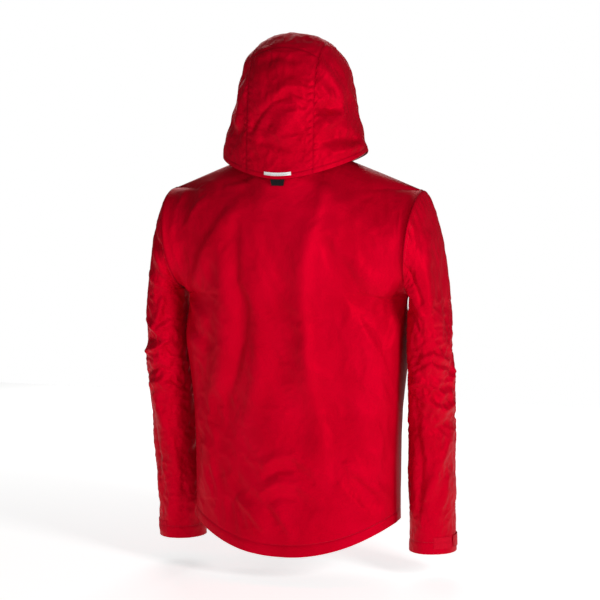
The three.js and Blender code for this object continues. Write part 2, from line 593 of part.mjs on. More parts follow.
// ---------------------------------------------------------------- hood
const hoodWide = (z) => lerp(HOOD_HALF, HOOD_BASE_HALF, clamp((120 - z) / 92, 0, 1) ** 1.1);
const hoodFrontDepth = (z) => lerp(HOOD_CHIN_DEPTH, HOOD_FRONT_DEPTH, smoothstep(z, 10, HOOD_EQUATOR_Z + 20));

// Moves a point to the hood's outer face: out from the crown's centre above the equator, level below it.
// With holdX the point keeps its distance from the hood's middle plane.
function ontoHood(q, holdX = false) {
  const dy = q.y - HOOD_CENTRE_Y;
  const dz = q.z - HOOD_EQUATOR_Z;
  const moved = (t) => V(holdX ? q.x : q.x * t, HOOD_CENTRE_Y + dy * t,
    dz > 0 ? HOOD_EQUATOR_Z + dz * t : q.z);
  const outside = (p) => {
    const depth = dy > 0 ? HOOD_BACK_DEPTH : hoodFrontDepth(p.z);
    const flat = Math.hypot(p.x / hoodWide(p.z), (p.y - HOOD_CENTRE_Y) / depth);
    const rise = Math.max(p.z - HOOD_EQUATOR_Z, 0) / (HOOD_TOP - HOOD_EQUATOR_Z);
    return flat ** 2.4 + rise ** 2.4 > 1;
  };
  let [near, far] = [0, 4];
  for (let turn = 0; turn < 40; turn++) {
    const t = (near + far) / 2;
    if (outside(moved(t))) far = t;
    else near = t;
  }
  return moved(near);
}

// The seam between the centre and a side panel: s runs from the back edge (0) over the crown to the brim (1).
const SEAM_TURN = THREE.MathUtils.degToRad(143); // how far over the crown the brim lies
function hoodArc(x, s, lowZ) {
  const rise = (HOOD_EQUATOR_Z - lowZ) / 110;
  const turn = lerp(-rise, SEAM_TURN, s);
  const r = HOOD_BACK_DEPTH;
  const q = turn < 0 ? V(x, HOOD_CENTRE_Y + r, HOOD_EQUATOR_Z + turn * 110)
    : V(x, HOOD_CENTRE_Y + r * Math.cos(turn), HOOD_EQUATOR_Z + r * Math.sin(turn));
  return ontoHood(q, true);
}

const crownAxis = (p) => V(0, HOOD_CENTRE_Y, Math.min(p.z, HOOD_EQUATOR_Z + 20));
const SIDE_CORNER_S = 0.42; // where a side panel's back edge becomes its top edge
const BACK_STEPS = 8;
const TOP_STEPS = 9;
const backS = spread(0, SIDE_CORNER_S, BACK_STEPS);
const topS = spread(SIDE_CORNER_S, 1, TOP_STEPS);
const YOKE_STEP = 1; // the seam across the centre panel lies this many steps past the corner
const BRIM_STEP = 7;
const hoodLow = HOOD_FOLD_Z + SEAM_GAP;
const FACE_ANGLE = THREE.MathUtils.degToRad(139); // from the centre back round to the face opening
const aroundHood = (angle, z) => ontoHood(V(100 * Math.sin(angle), HOOD_CENTRE_Y + 100 * Math.cos(angle), z));
const centreAcross = spread(-HOOD_SEAM_X + SEAM_GAP / 2, HOOD_SEAM_X - SEAM_GAP / 2, 4);
const hoodCentre = (x, s) => hoodArc(x, s, hoodLow);
const flatSeam = (n, i, j, p) => {
  if (i === 0 || i === centreAcross.length - 1) n.x = 0;
  if (p.z < hoodLow + 0.01) n.z = 0;
};
const endGap = (list) => inset(list, 0, 0.02);
const centrePiece = (rows, thick) => panel(hoodCentre, centreAcross, rows, 0, -thick, crownAxis, flatSeam);
add('hood_centre_back', centrePiece(endGap([...backS, ...topS.slice(1, YOKE_STEP + 1)]), SHELL), shellRed);
add('hood_crown', centrePiece(endGap(topS.slice(YOKE_STEP, BRIM_STEP + 1)), SHELL), shellRed);
add('hood_brim', centrePiece(topS.slice(BRIM_STEP), BRIM_THICK), shellRed);

// A Coons patch between four edges, each a function of 0 to 1, laid onto the hood.
function hoodPatch(low, high, start, end) {
  return (u, v) => {
    const q = low(u).multiplyScalar(1 - v).add(high(u).multiplyScalar(v))
      .add(start(v).multiplyScalar(1 - u)).add(end(v).multiplyScalar(u));
    q.addScaledVector(low(0), -(1 - u) * (1 - v)).addScaledVector(low(1), -u * (1 - v));
    q.addScaledVector(high(0), -(1 - u) * v).addScaledVector(high(1), -u * v);
    return ontoHood(q);
  };
}

const BINDING_SHARE = 0.07; // of a side panel's length
const FACE_BOW = 14; // how far the face opening's edge bows forward
const sidePatch = {};
for (const [name, sx] of SIDES) {
  const seam = (s) => hoodArc(sx * (HOOD_SEAM_X + SEAM_GAP / 2), s, hoodLow);
  const faceLow = aroundHood(sx * FACE_ANGLE, hoodLow);
  const faceHigh = seam(1);
  const backAngle = Math.atan2(seam(0).x, seam(0).y - HOOD_CENTRE_Y);
  const base = (u) => aroundHood(lerp(backAngle, sx * FACE_ANGLE, u), hoodLow);
  const face = (v) => ontoHood(V(lerp(faceLow.x, faceHigh.x, v ** 1.6),
    lerp(faceLow.y, faceHigh.y, v) - FACE_BOW * v * (1 - v), lerp(faceLow.z, faceHigh.z, v)));
  const side = hoodPatch(base, (u) => seam(lerp(SIDE_CORNER_S, 1, u)), (v) => seam(SIDE_CORNER_S * v), face);
  const sewn = (n, i, j) => {
    if (i === 0 || j === BACK_STEPS) n.x = 0;
    if (j === 0) n.z = 0;
  };
  add(`hood_side_${name}`, panel(side, spread(0, 1, TOP_STEPS), spread(0, 1, BACK_STEPS), 0, -SHELL,
    crownAxis, sewn), shellRed);
  sidePatch[name] = side;
}

// binding inside the edge of the face opening: up one side, across the brim and down the other
{
  const up = spread(0, 1, BACK_STEPS);
  const path = [...up.slice(0, -1).map((v) => (h) => sidePatch.left(1 - BINDING_SHARE * h, v)),
    ...centreAcross.slice().reverse().map((x) => (h) => hoodCentre(x, 1 - BINDING_SHARE * 0.58 * h)),
    ...up.slice(0, -1).reverse().map((v) => (h) => sidePatch.right(1 - BINDING_SHARE * h, v))];
  const edge = path.map((at) => [at(0.03), at(1)]);
  const depth = -BRIM_THICK - LAYER_GAP - 0.7; // the last term clears the corners of the brim
  add('hood_edge_binding', thicken(edge, false, depth, depth - BINDING, crownAxis), trimBlack);
}

// the hood's soft foot: from its free lower edge up to the fold
const footEdge = (angle) => {
  const a = Math.abs(angle);
  const side = Math.PI / 2;
  return a < side ? lerp(HOOD_BACK_EDGE_Z, HOOD_SIDE_EDGE_Z, (1 - Math.cos(a)) ** 0.9)
    : lerp(HOOD_SIDE_EDGE_Z, HOOD_CHIN_EDGE_Z, smoothstep(a, side, FACE_ANGLE));
};
const footPoint = (angle, v) => aroundHood(angle, lerp(footEdge(angle), HOOD_FOLD_Z, v));
const footAround = spread(-FACE_ANGLE, FACE_ANGLE, 20);
const levelTop = (n) => n.setZ(0);
add('hood_foot', panel(footPoint, footAround, spread(0, 1, 3), 0, -SHELL, crownAxis, levelTop), shellRed);

// a thin reflective strip on the foot, above its back edge
add('hood_reflective_strip', panel(footPoint, footAround.slice(9, 12), [0.06, 0.15],
  LAYER_GAP + STRIP_THICK, LAYER_GAP, crownAxis, levelTop), paleGrey);

// the black tab that hangs under the foot's back edge, wider at its top
const TAB = { top: 14, end: 11.5, length: 12, thick: 1.4 };
{
  const shape = new THREE.Shape([[-TAB.top, 0], [TAB.top, 0], [TAB.end, -TAB.length], [-TAB.end, -TAB.length]]
    .map(([x, z]) => new THREE.Vector2(x, z)));
  const tab = new THREE.ExtrudeGeometry(shape, { depth: TAB.thick, bevelEnabled: false });
  tab.rotateX(Math.PI / 2);
  const y = HOOD_CENTRE_Y + HOOD_BACK_DEPTH - (SHELL - TAB.thick) / 2;
  add('hood_back_tab', tab.translate(0, y, HOOD_BACK_EDGE_Z - 0.6), trimBlack);
}

// band that carries the foot's lower edge in to the neck seam, under the hood
{
  const neckA = (angle) => Math.abs(angle) / Math.PI;
  const BAND_H = 0.14; // how far up the collar it is sewn
  const point = (angle, v) => {
    const rim = footPoint(angle, 0);
    const dy = rim.y - HOOD_CENTRE_Y;
    const depth = dy > 0 ? HOOD_BACK_DEPTH : hoodFrontDepth(rim.z);
    const out = V(rim.x / hoodWide(rim.z) ** 2, dy / depth ** 2, 0).normalize();
    const outer = rim.addScaledVector(out, -SHELL - LAYER_GAP - 0.9).add(V(0, 0, 1.5));
    const ring = collarPoint(Math.sign(angle) || 1, Math.min(neckA(angle), edgeA - 0.01), BAND_H);
    const away = V(ring.x, ring.y - NECK_CENTRE_Y, 0).normalize();
    return outer.lerp(ring.addScaledVector(away, 1.7), v);
  };
  const below = (p) => V(p.x, p.y, p.z - 50);
  add('hood_neck_band', panel(point, footAround, [0, 0.5, 1], 0, -NECK_BAND, below), shellRed);
}

// ---------------------------------------------------------------- eyelets inside the hem, by the side seams
const EYELET = { bore: 2.6, rim: 4.8, thick: 1.2 };
for (const [name, sx] of SIDES) {
  const u = 0.72 * sx;
  const at = bodyPoint(1, u, 0.015);
  const normal = bodyPoint(1, u + 0.01, 0.015).sub(at).cross(V(0, 0, 1)).normalize();
  if (normal.y < 0) normal.negate();
  const profile = [[EYELET.bore, 0], [EYELET.rim, 0], [EYELET.rim, EYELET.thick], [EYELET.bore, EYELET.thick],
    [EYELET.bore, 0]].map(([r, y]) => new THREE.Vector2(r, y));
  const eyelet = add(`hem_eyelet_${name}`, new THREE.LatheGeometry(profile, 16), metalGrey);
  eyelet.quaternion.setFromUnitVectors(V(0, 1, 0), normal);
  eyelet.position.copy(at).addScaledVector(normal, -LINING_DEPTH - EYELET.thick - 0.6);
}

export default jacket;
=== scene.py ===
"""A hardshell jacket, zipped up with the hood raised, hanging by the loop inside its neck.

Metres, +Z up. The wearer faces -Y and +X is the wearer's left. Surfaces are worked out in millimetres,
as a pattern cutter would, and turned to metres when a mesh is made.
"""
import math

import bmesh
import bpy
import numpy as np
from mathutils import Matrix, Vector
from mathutils.bvhtree import BVHTree


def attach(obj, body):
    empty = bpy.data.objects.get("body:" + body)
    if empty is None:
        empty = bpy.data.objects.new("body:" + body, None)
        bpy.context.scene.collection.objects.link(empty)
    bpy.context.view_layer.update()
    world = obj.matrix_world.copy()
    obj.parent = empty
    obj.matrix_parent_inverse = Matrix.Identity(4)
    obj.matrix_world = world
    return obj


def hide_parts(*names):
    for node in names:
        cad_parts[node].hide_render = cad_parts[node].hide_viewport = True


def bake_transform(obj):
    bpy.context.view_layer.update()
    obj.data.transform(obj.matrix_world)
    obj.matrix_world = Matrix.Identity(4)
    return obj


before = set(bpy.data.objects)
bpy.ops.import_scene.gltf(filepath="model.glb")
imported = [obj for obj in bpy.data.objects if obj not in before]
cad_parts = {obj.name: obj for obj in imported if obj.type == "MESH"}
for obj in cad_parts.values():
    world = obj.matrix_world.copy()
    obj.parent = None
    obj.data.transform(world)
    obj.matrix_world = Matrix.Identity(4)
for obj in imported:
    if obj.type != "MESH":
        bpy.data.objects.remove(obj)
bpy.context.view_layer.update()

# ---------------------------------------------------------------- studio
# A pale floor under the hanging jacket. A small soft box on the camera's right models the folds, a broad
# one beside the camera and one in front of the wearer fill them, and a little light comes from all round.
CAMERA_AZIMUTH = 198
CAMERA_ELEVATION = 5
CAMERA_DISTANCE = 4.0
AIM = Vector((-0.0279, -0.0278, -0.2562))  # the middle of the view, by the jacket's back
LIT = Vector((0, -0.05, -0.25))  # where the lights point


def compass(azimuth, elevation):
    """The direction from the jacket towards a point round it, azimuth 0 being in front of the wearer."""
    a, e = math.radians(azimuth), math.radians(elevation)
    return Vector((math.sin(a) * math.cos(e), -math.cos(a) * math.cos(e), math.sin(e)))


def shown(name, data):
    """An object for a mesh, a camera or a light, in the scene and at the origin."""
    thing = bpy.data.objects.new(name, data)
    bpy.context.scene.collection.objects.link(thing)
    return thing


def aimed(data, name, azimuth, elevation, distance, at):
    """A camera or light that stands off in a direction and looks back at a point."""
    thing = shown(name, data)
    away = compass(azimuth, elevation)
    turned = away.to_track_quat("Z", "Y").to_matrix().to_4x4()
    thing.matrix_world = Matrix.Translation(at + away * distance) @ turned
    return thing


lens = bpy.data.cameras.new("camera")
lens.lens = 126
lens.sensor_width = 36
lens.clip_end = 100
bpy.context.scene.camera = aimed(lens, "camera", CAMERA_AZIMUTH, CAMERA_ELEVATION, CAMERA_DISTANCE, AIM)

for name, azimuth, elevation, distance, size, watts in (
    ("soft_box_right", 235, 13, 2.4, 0.6, 30),
    ("soft_box_back", 184, 6, 3.2, 1.4, 19),
    ("soft_box_front", 20, 25, 3.0, 1.8, 30),
):
    panel_light = bpy.data.lights.new(name, "AREA")
    panel_light.shape = "SQUARE"
    panel_light.size = size
    panel_light.energy = watts
    aimed(panel_light, name, azimuth, elevation, distance, LIT)


def linear(code):
    """An sRGB colour such as "b3001b" as linear light, opaque."""
    parts = [int(code[i : i + 2], 16) / 255 for i in (0, 2, 4)]
    return (*[c / 12.92 if c <= 0.04045 else ((c + 0.055) / 1.055) ** 2.4 for c in parts], 1.0)


def put(tree, kind, sockets=None, **settings):
    """A node with its settings, and its sockets set to a value or linked to another node's output."""
    made = tree.nodes.new(kind)
    for key, value in settings.items():
        setattr(made, key, value)
    for key, value in (sockets or {}).items():
        if isinstance(value, bpy.types.NodeSocket):
            tree.links.new(value, made.inputs[key])
        else:
            made.inputs[key].default_value = value
    return made


world = bpy.data.worlds.new("studio")
bpy.context.scene.world = world
world.use_nodes = True
sky = world.node_tree.nodes["Background"]
sky.inputs["Color"].default_value = linear("ffffff")
# the backdrop is white to look at, but lights the jacket only faintly
seen = put(world.node_tree, "ShaderNodeLightPath")
paper = put(world.node_tree, "ShaderNodeMix", {"Factor": seen.outputs["Is Camera Ray"], "A": 0.10, "B": 1.0},
            data_type="FLOAT")
world.node_tree.links.new(paper.outputs["Result"], sky.inputs["Strength"])
bpy.context.scene.view_settings.view_transform = "Standard"


def material(name, **values):
    """A node material with its shader's own values set; _ stands for a space in their names."""
    made = bpy.data.materials.new(name)
    made.use_nodes = True
    shader = made.node_tree.nodes["Principled BSDF"]
    for key, value in values.items():
        shader.inputs[key.replace("_", " ")].default_value = value
    return made, made.node_tree, shader


# painted board: matt and faintly uneven
floor_paint, tree, shader = material("painted_board", Roughness=0.9, Specular_IOR_Level=0.0,
                                     Emission_Color=linear("ffffff"), Emission_Strength=0.6)
grain = put(tree, "ShaderNodeTexNoise", {"Scale": 3.0, "Detail": 2.0})
tone = put(tree, "ShaderNodeMix", {"Factor": grain.outputs["Fac"], "A": linear("fbfbfa"),
                                   "B": linear("ffffff")}, data_type="RGBA")
tree.links.new(tone.outputs["Result"], shader.inputs["Base Color"])
FLOOR_Z = -0.80
HALF_FLOOR = 2.6
corners = ((-1, -1), (1, -1), (1, 1), (-1, 1))
floor_mesh = bpy.data.meshes.new("floor")
floor_mesh.from_pydata([(x * HALF_FLOOR, y * HALF_FLOOR, FLOOR_Z) for x, y in corners], [], [(0, 1, 2, 3)])
floor_mesh.materials.append(floor_paint)
shown("floor", floor_mesh)

# ---------------------------------------------------------------- back
# The back is one piece of red three-layer laminate, about 0.5 mm thick and sewn to the fronts along the
# shoulders and sides. It hangs in soft folds from the shoulders, and its hem drops in a curved tail.
BACK_LENGTH = 747
TAIL_DROP = 62
TAIL_CURVE = 2.2  # how late the tail curves up towards the side seams
FRONT_LOW, FRONT_HIGH = (-225, -730), (-170, 25)  # (y, z) of the zip edge near the hem and at the neck
NECK_DEPTH = 85  # how far the front of the neck dips
FRONT_DIP = 8  # how far the fronts' hem dips at the zip
SIDE_HEM_Z = TAIL_DROP - BACK_LENGTH
NECK_HALF = 80
NECK_SIDE_Z = 20
NECK_RIDGE_Z = 113
ARMHOLE = np.array([240.0, -95.0, -145.0])
ARMHOLE_RADIUS = 98.7
TILT = math.radians(7)
RIDGE_Y = -75
TIP_X = ARMHOLE[0] + ARMHOLE_RADIUS * math.sin(TILT)
TIP_Z = ARMHOLE[2] + ARMHOLE_RADIUS * math.cos(TILT)
ARMPIT_X = ARMHOLE[0] - ARMHOLE_RADIUS * math.sin(TILT)
ARMPIT_Z = ARMHOLE[2] - ARMHOLE_RADIUS * math.cos(TILT)
CLOTH = 1.0  # thickness of the laminate as drawn


def mix(a, b, t):
    return a + (b - a) * t


def net(across, up):
    """The two coordinates of a grid, by its columns and rows."""
    return np.meshgrid(across, up, indexing="ij")


def close_to(distance, reach):
    """1 on a line, falling away smoothly to nothing about twice the reach from it."""
    return np.exp(-((distance / reach) ** 2))


def eased(s, a, b):
    t = np.clip((s - a) / (b - a), 0, 1)
    return t * t * (3 - 2 * t)


def through(stations):
    """A smooth curve through (position, value, ...) stations, in rising order of position."""
    st = np.array(stations, float)
    xs = st[:, 0]
    before, after = np.maximum(np.arange(len(xs)) - 1, 0), np.minimum(np.arange(len(xs)) + 1, len(xs) - 1)
    slopes = (st[after] - st[before]) / (xs[after] - xs[before])[:, None]

    def value(s, c=1):
        s = np.asarray(s, float)
        i = np.clip(np.searchsorted(xs, s, side="right") - 1, 0, len(xs) - 2)
        h = xs[i + 1] - xs[i]
        t = np.clip((s - xs[i]) / h, 0, 1)
        return ((2 * t**3 - 3 * t**2 + 1) * st[i, c] + (t**3 - 2 * t**2 + t) * h * slopes[i, c]
                + (3 * t**2 - 2 * t**3) * st[i + 1, c] + (t**3 - t**2) * h * slopes[i + 1, c])

    return value


def down(share):
    return -BACK_LENGTH * share


body_side = through([(down(1), 204), (down(0.83), 204), (down(0.67), 207), (down(0.442), 219),
                     (ARMPIT_Z - 14, ARMPIT_X - 5), (ARMPIT_Z, ARMPIT_X)])
back_depth = through([(down(1), 87), (down(0.8), 82), (down(0.6), 82), (down(0.4), 96), (down(0.2), 107),
                      (0, 88), (60, 86)])


def half_width(z):
    sloped = np.minimum(ARMHOLE[0] + (z - ARMHOLE[2]) * math.tan(TILT), TIP_X)
    return np.where(z < ARMPIT_Z, body_side(z), sloped)


def front_line(z):
    """y of the fronts' zip edge, which slants back as it rises."""
    return mix(FRONT_LOW[0], FRONT_HIGH[0], (z - FRONT_LOW[1]) / (FRONT_HIGH[1] - FRONT_LOW[1]))


def back_hem_z(u):
    return -BACK_LENGTH + TAIL_DROP * abs(u) ** TAIL_CURVE


def ridge_y(x):
    return mix(RIDGE_Y, ARMHOLE[1], eased(abs(x), 0, TIP_X))


def shoulder_z(x):
    return mix(NECK_SIDE_Z, TIP_Z, (abs(x) - NECK_HALF) / (TIP_X - NECK_HALF))


def ridge_height(x):
    q = np.minimum((x / NECK_HALF) ** 2, 1)
    return np.where(abs(x) > NECK_HALF, shoulder_z(x), NECK_SIDE_Z * q + NECK_RIDGE_Z * (1 - q) ** 2)


def body_y(side, x, z):
    """y of the shell, on the back (side 1) or the front (side -1)."""
    u = np.minimum(abs(x) / half_width(z), 1)
    boxy = mix(2.4, 4, eased(z, down(0.643), ARMPIT_Z))
    side_round = np.maximum(1 - u**boxy, 0) ** (1 / boxy)
    t = np.clip((ridge_height(x) - z) / mix(180, 110, abs(x) / TIP_X), 0, 1)
    shoulder_round = (1 - (1 - t) ** 2.4) ** (1 / 2.4)
    depth = back_depth(z) if side > 0 else RIDGE_Y - front_line(z)
    chord = np.sqrt(np.maximum(ARMHOLE_RADIUS**2 - ((z - ARMHOLE[2]) / math.cos(TILT)) ** 2, 0))
    k = u**6 * eased(z, ARMPIT_Z - 110, ARMPIT_Z)
    return ridge_y(x) + side * (0.2 + (1 - k) * depth * side_round * shoulder_round + k * chord)


def neck_back_z(x):
    return NECK_SIDE_Z * (x / NECK_HALF) ** 2


def neck_front_z(x):
    return NECK_SIDE_Z - NECK_DEPTH * np.sqrt(np.maximum(1 - (x / NECK_HALF) ** 2, 0))


def rows_up(lower, upper):
    """Shares of the way up a body panel, closer together towards the shoulder."""
    armpit = (ARMPIT_Z - SIDE_HEM_Z) / (TIP_Z - SIDE_HEM_Z)
    top = armpit + (1 - armpit) * np.sin(math.pi / 2 * np.linspace(0, 1, upper + 1)[1:])
    return np.concatenate([np.linspace(0, armpit, lower + 1), top])


def outward(grid, closed=False):
    """Unit normals of a grid of points, by its columns and rows."""
    if closed:
        across = np.roll(grid, -1, 0) - np.roll(grid, 1, 0)
    else:
        across = np.gradient(grid, axis=0)
    n = np.cross(across, np.gradient(grid, axis=1))
    length = np.linalg.norm(n, axis=2, keepdims=True)
    return n / np.maximum(length, 1e-9)


def rumple(columns, rows, du, dv, across, up, turn=0.0, seed=1):
    """Smooth random heights with a spread of 1; across and up are the folds' size, turned by an angle."""
    noise = np.random.default_rng(seed).standard_normal((columns, rows))
    fx, fy = net(np.fft.fftfreq(columns, du), np.fft.fftfreq(rows, dv))
    a = math.radians(turn)
    gx, gy = fx * math.cos(a) + fy * math.sin(a), -fx * math.sin(a) + fy * math.cos(a)
    k = np.sqrt((gx * across) ** 2 + (gy * up) ** 2)
    field = np.fft.ifft2(np.fft.fft2(noise) * k * np.exp(-1.6 * k**2)).real
    return field / field.std()


def fold(x, z, path, height, width, lean=0.0, taper=0.45):
    """Heights of one fold whose crest follows path; lean makes one flank steeper than the other."""
    pts = np.array(path, float)
    steps = np.linalg.norm(np.diff(pts, axis=0), axis=1)
    run = np.concatenate([[0], np.cumsum(steps)])
    best = np.full(np.shape(x), 1e9)
    flank, along = np.zeros(np.shape(x)), np.zeros(np.shape(x))
    for i, step in enumerate(steps):
        d = (pts[i + 1] - pts[i]) / step
        rx, rz = x - pts[i, 0], z - pts[i, 1]
        t = np.clip(rx * d[0] + rz * d[1], 0, step)
        far = np.hypot(rx - t * d[0], rz - t * d[1])
        nearer = far < best
        best = np.where(nearer, far, best)
        flank = np.where(nearer, np.sign(rx * d[1] - rz * d[0]), flank)
        along = np.where(nearer, (run[i] + t) / run[-1], along)
    ends = np.clip(np.sin(math.pi * np.clip(along, 0, 1)), 0, 1) ** taper
    return height * ends * close_to(best, width * (1 + lean * flank))


def unit(v):
    """Vectors made one long."""
    return v / np.linalg.norm(v, axis=-1, keepdims=True)


def creases(field, level, softness):
    """Sharp creases where a random field passes through nothing."""
    return level - np.sqrt(field**2 + softness)


def away_from(centre, grid, closed=False):
    """Unit normals of a grid of points, all on the side away from a centre."""
    normal = outward(grid, closed)
    return normal * np.sign((normal * (grid - centre)).sum(2).mean())


def assign(piece, body, slot, *nodes):
    """The CAD nodes that a piece stands for, the body it rides on, and its slot, which is not used."""
    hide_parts(*nodes)
    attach(piece, body)


def cloth(name, grid, thick, inside, finish, closed=False, seam=None, backing=None):
    """A layer of cloth as one closed mesh: grid is its outer face in millimetres, by columns and rows.

    inside is a point that the cloth faces away from. seam, from 0 to 1, marks where stitching pulls it in,
    and the shell's finish darkens its colour there as painted shade.
    backing is the material of the inner face where it isn't the same.
    """
    normals = outward(grid, closed)
    mid = (grid.shape[0] // 2, grid.shape[1] // 2)
    turned = np.dot(normals[mid], grid[mid] - np.asarray(inside, float)) < 0
    if turned:
        normals = -normals
    nu, nv = grid.shape[:2]
    points = np.concatenate([grid.reshape(-1, 3), (grid - normals * thick).reshape(-1, 3)])
    ids = np.arange(nu * nv).reshape(nu, nv)
    if closed:
        ids = np.vstack([ids, ids[:1]])
    base = nu * nv
    columns = np.concatenate([[0], np.cumsum(np.linalg.norm(np.diff(grid, axis=0), axis=2).mean(1))])
    if closed:
        columns = np.append(columns, columns[-1] + np.linalg.norm(grid[0] - grid[-1], axis=1).mean())
    up = np.concatenate([[0], np.cumsum(np.linalg.norm(np.diff(grid, axis=1), axis=2).mean(0))])
    uv = np.stack(net(columns, up), 2) / 1000
    a, b, c, d = ids[:-1, :-1], ids[1:, :-1], ids[1:, 1:], ids[:-1, 1:]
    ua, ub, uc, ud = uv[:-1, :-1], uv[1:, :-1], uv[1:, 1:], uv[:-1, 1:]
    faces = [np.stack([a, b, c, d], 2).reshape(-1, 4), np.stack([a, d, c, b], 2).reshape(-1, 4) + base]
    coords = [np.stack(four, 2).reshape(-1, 4, 2) for four in ([ua, ub, uc, ud], [ua, ud, uc, ub])]

    def rim(line, along):
        p, q = line[:-1], line[1:]
        faces.append(np.stack([p, p + base, q + base, q], 1))
        coords.append(np.stack([along[:-1], along[:-1], along[1:], along[1:]], 1))

    rim(ids[:, 0], uv[:, 0])
    rim(ids[::-1, -1], uv[::-1, -1])
    if not closed:
        rim(ids[0, ::-1], uv[0, ::-1])
        rim(ids[-1], uv[-1])
    faces, coords = np.concatenate(faces), np.concatenate(coords)
    if turned:
        faces, coords = faces[:, ::-1], coords[:, ::-1]
    mesh = bpy.data.meshes.new(name)
    mesh.from_pydata(points / 1000, [], faces.tolist())
    mesh.uv_layers.new(name="cloth").data.foreach_set("uv", coords.astype(np.float32).ravel())
    # the seam share is kept on the mesh for the shell's finish, which paints shade with it
    if seam is not None:
        mark = mesh.attributes.new("seam", "FLOAT", "POINT")
        mark.data.foreach_set("value", np.tile(seam.ravel(), 2).astype(np.float32))
    mesh.shade_smooth()
    mesh.set_sharp_from_angle(angle=math.radians(60))
    mesh.materials.append(finish)
    if backing is not None:
        mesh.materials.append(backing)
        side = np.zeros(len(faces), np.int32)
        quads = a.size
        side[quads : 2 * quads] = 1
        mesh.polygons.foreach_set("material_index", side)
    return shown(name, mesh)


# Nylon laminate with a plain-weave face and a thin water-shedding coat: satin, with red highlights along its
# folds and a faint sheen where it turns away, and a little uneven in tone where it has been handled. Along
# its seams and rows of stitching the colour is darkened: painted shade for their grooves.
# Threads 0.4 mm apart are too fine to show, so they are 1.2 mm apart.
shell_cloth, tree, shader = material(
    "laminated_nylon", Specular_IOR_Level=0.08, Specular_Tint=linear("ff1430"), Metallic=0.2,
    Sheen_Weight=0.05, Sheen_Roughness=0.4, Sheen_Tint=linear("ff1a30"))
THREAD = 0.0012
threads = put(tree, "ShaderNodeUVMap", uv_map="cloth")
parted = put(tree, "ShaderNodeSeparateXYZ", {0: threads.outputs["UV"]})
waves = []
for axis in ("X", "Y"):
    turns = put(tree, "ShaderNodeMath", {0: parted.outputs[axis], 1: 2 * math.pi / THREAD},
                operation="MULTIPLY")
    waves.append(put(tree, "ShaderNodeMath", {0: turns.outputs[0]}, operation="SINE"))
weave = put(tree, "ShaderNodeMath", {0: waves[0].outputs[0], 1: waves[1].outputs[0]}, operation="MULTIPLY")
place = put(tree, "ShaderNodeTexCoord")
mottle = put(tree, "ShaderNodeTexNoise", {"Vector": place.outputs["Object"], "Scale": 9.0, "Detail": 5.0,
                                          "Roughness": 0.6})
speck = put(tree, "ShaderNodeTexNoise", {"Vector": place.outputs["Object"], "Scale": 320.0, "Detail": 2.0})
tones = put(tree, "ShaderNodeValToRGB", {"Fac": mottle.outputs["Fac"]})
tones.color_ramp.elements[0].position, tones.color_ramp.elements[0].color = 0.3, linear("b8001c")
tones.color_ramp.elements[1].position, tones.color_ramp.elements[1].color = 0.72, linear("cc0024")
# painted shade: the seam attribute darkens the colour towards a deep red in the grooves along seams and
# stitching
seam_shade = put(tree, "ShaderNodeAttribute", attribute_name="seam")
shade = put(tree, "ShaderNodeMix", {"Factor": seam_shade.outputs["Fac"], "A": tones.outputs["Color"],
                                    "B": linear("6a0010")}, data_type="RGBA")
tree.links.new(shade.outputs["Result"], shader.inputs["Base Color"])
gloss = put(tree, "ShaderNodeMapRange", {"Value": mottle.outputs["Fac"], "To Min": 0.42, "To Max": 0.54})
tree.links.new(gloss.outputs["Result"], shader.inputs["Roughness"])
rough_face = put(tree, "ShaderNodeBump", {"Height": speck.outputs["Fac"], "Strength": 0.10,
                                          "Distance": 0.0006})
woven = put(tree, "ShaderNodeBump", {"Height": weave.outputs[0], "Strength": 0.12, "Distance": 0.0003,
                                     "Normal": rough_face.outputs["Normal"]})
tree.links.new(woven.outputs["Normal"], shader.inputs["Normal"])


def two_tone(name, kind, pattern, dark, light, coords="UV", field="Fac", bands=None, relief=None, **values):
    """A finish that a fine pattern varies between two tones; relief is the strength and height of its grain.

    The pattern follows the cloth, or with coords "Object" it fills the piece.
    """
    made, tree, shader = material(name, **values)
    if coords == "UV":
        place = put(tree, "ShaderNodeUVMap", uv_map="cloth")
    else:
        place = put(tree, "ShaderNodeTexCoord")
    settings = {"bands_direction": bands} if bands else {}
    texture = put(tree, kind, {"Vector": place.outputs[coords], **pattern}, **settings)
    share = texture.outputs[field]
    tone = put(tree, "ShaderNodeMix", {"Factor": share, "A": linear(dark), "B": linear(light)},
               data_type="RGBA")
    tree.links.new(tone.outputs["Result"], shader.inputs["Base Color"])
    if relief:
        raised = put(tree, "ShaderNodeBump", {"Height": share, "Strength": relief[0], "Distance": relief[1]})
        tree.links.new(raised.outputs["Normal"], shader.inputs["Normal"])
    return made, tree, shader, texture


# Knitted backing of the laminate: dark red tricot with soft ribs 1.4 mm apart, dull and a little fuzzy
tricot = two_tone("tricot_backing", "ShaderNodeTexWave", {"Scale": 110.0, "Distortion": 1.5, "Detail": 1.0},
                  "7d0f1c", "931626", bands="X", relief=(0.3, 0.0004), Roughness=0.85, Sheen_Weight=0.2)[0]

CELL = 2.6  # millimetres between the columns of a large panel's grid
INSIDE = np.array([0, -90, -400])  # a point in the middle of the body
us = np.sin(math.pi / 2 * np.linspace(-1, 1, 181))
u, v = net(us, rows_up(168, 84))
x_top = u * TIP_X
top_z = np.where(abs(x_top) > NECK_HALF, shoulder_z(x_top), neck_back_z(x_top))
z = mix(back_hem_z(u), top_z, v)
x = u * half_width(z)
back = np.stack([x, body_y(1, x, z), z], 2)

# how far each point is from the sewn edges, which hold the cloth flat
from_side = np.minimum((1 - abs(u)) * half_width(z), 200)
from_top = top_z - z
from_hem = (v * (top_z + BACK_LENGTH))
free = eased(from_side, 0, 28) * eased(from_top, 0, 30) * mix(0.35, 1, eased(from_hem, 6, 60))

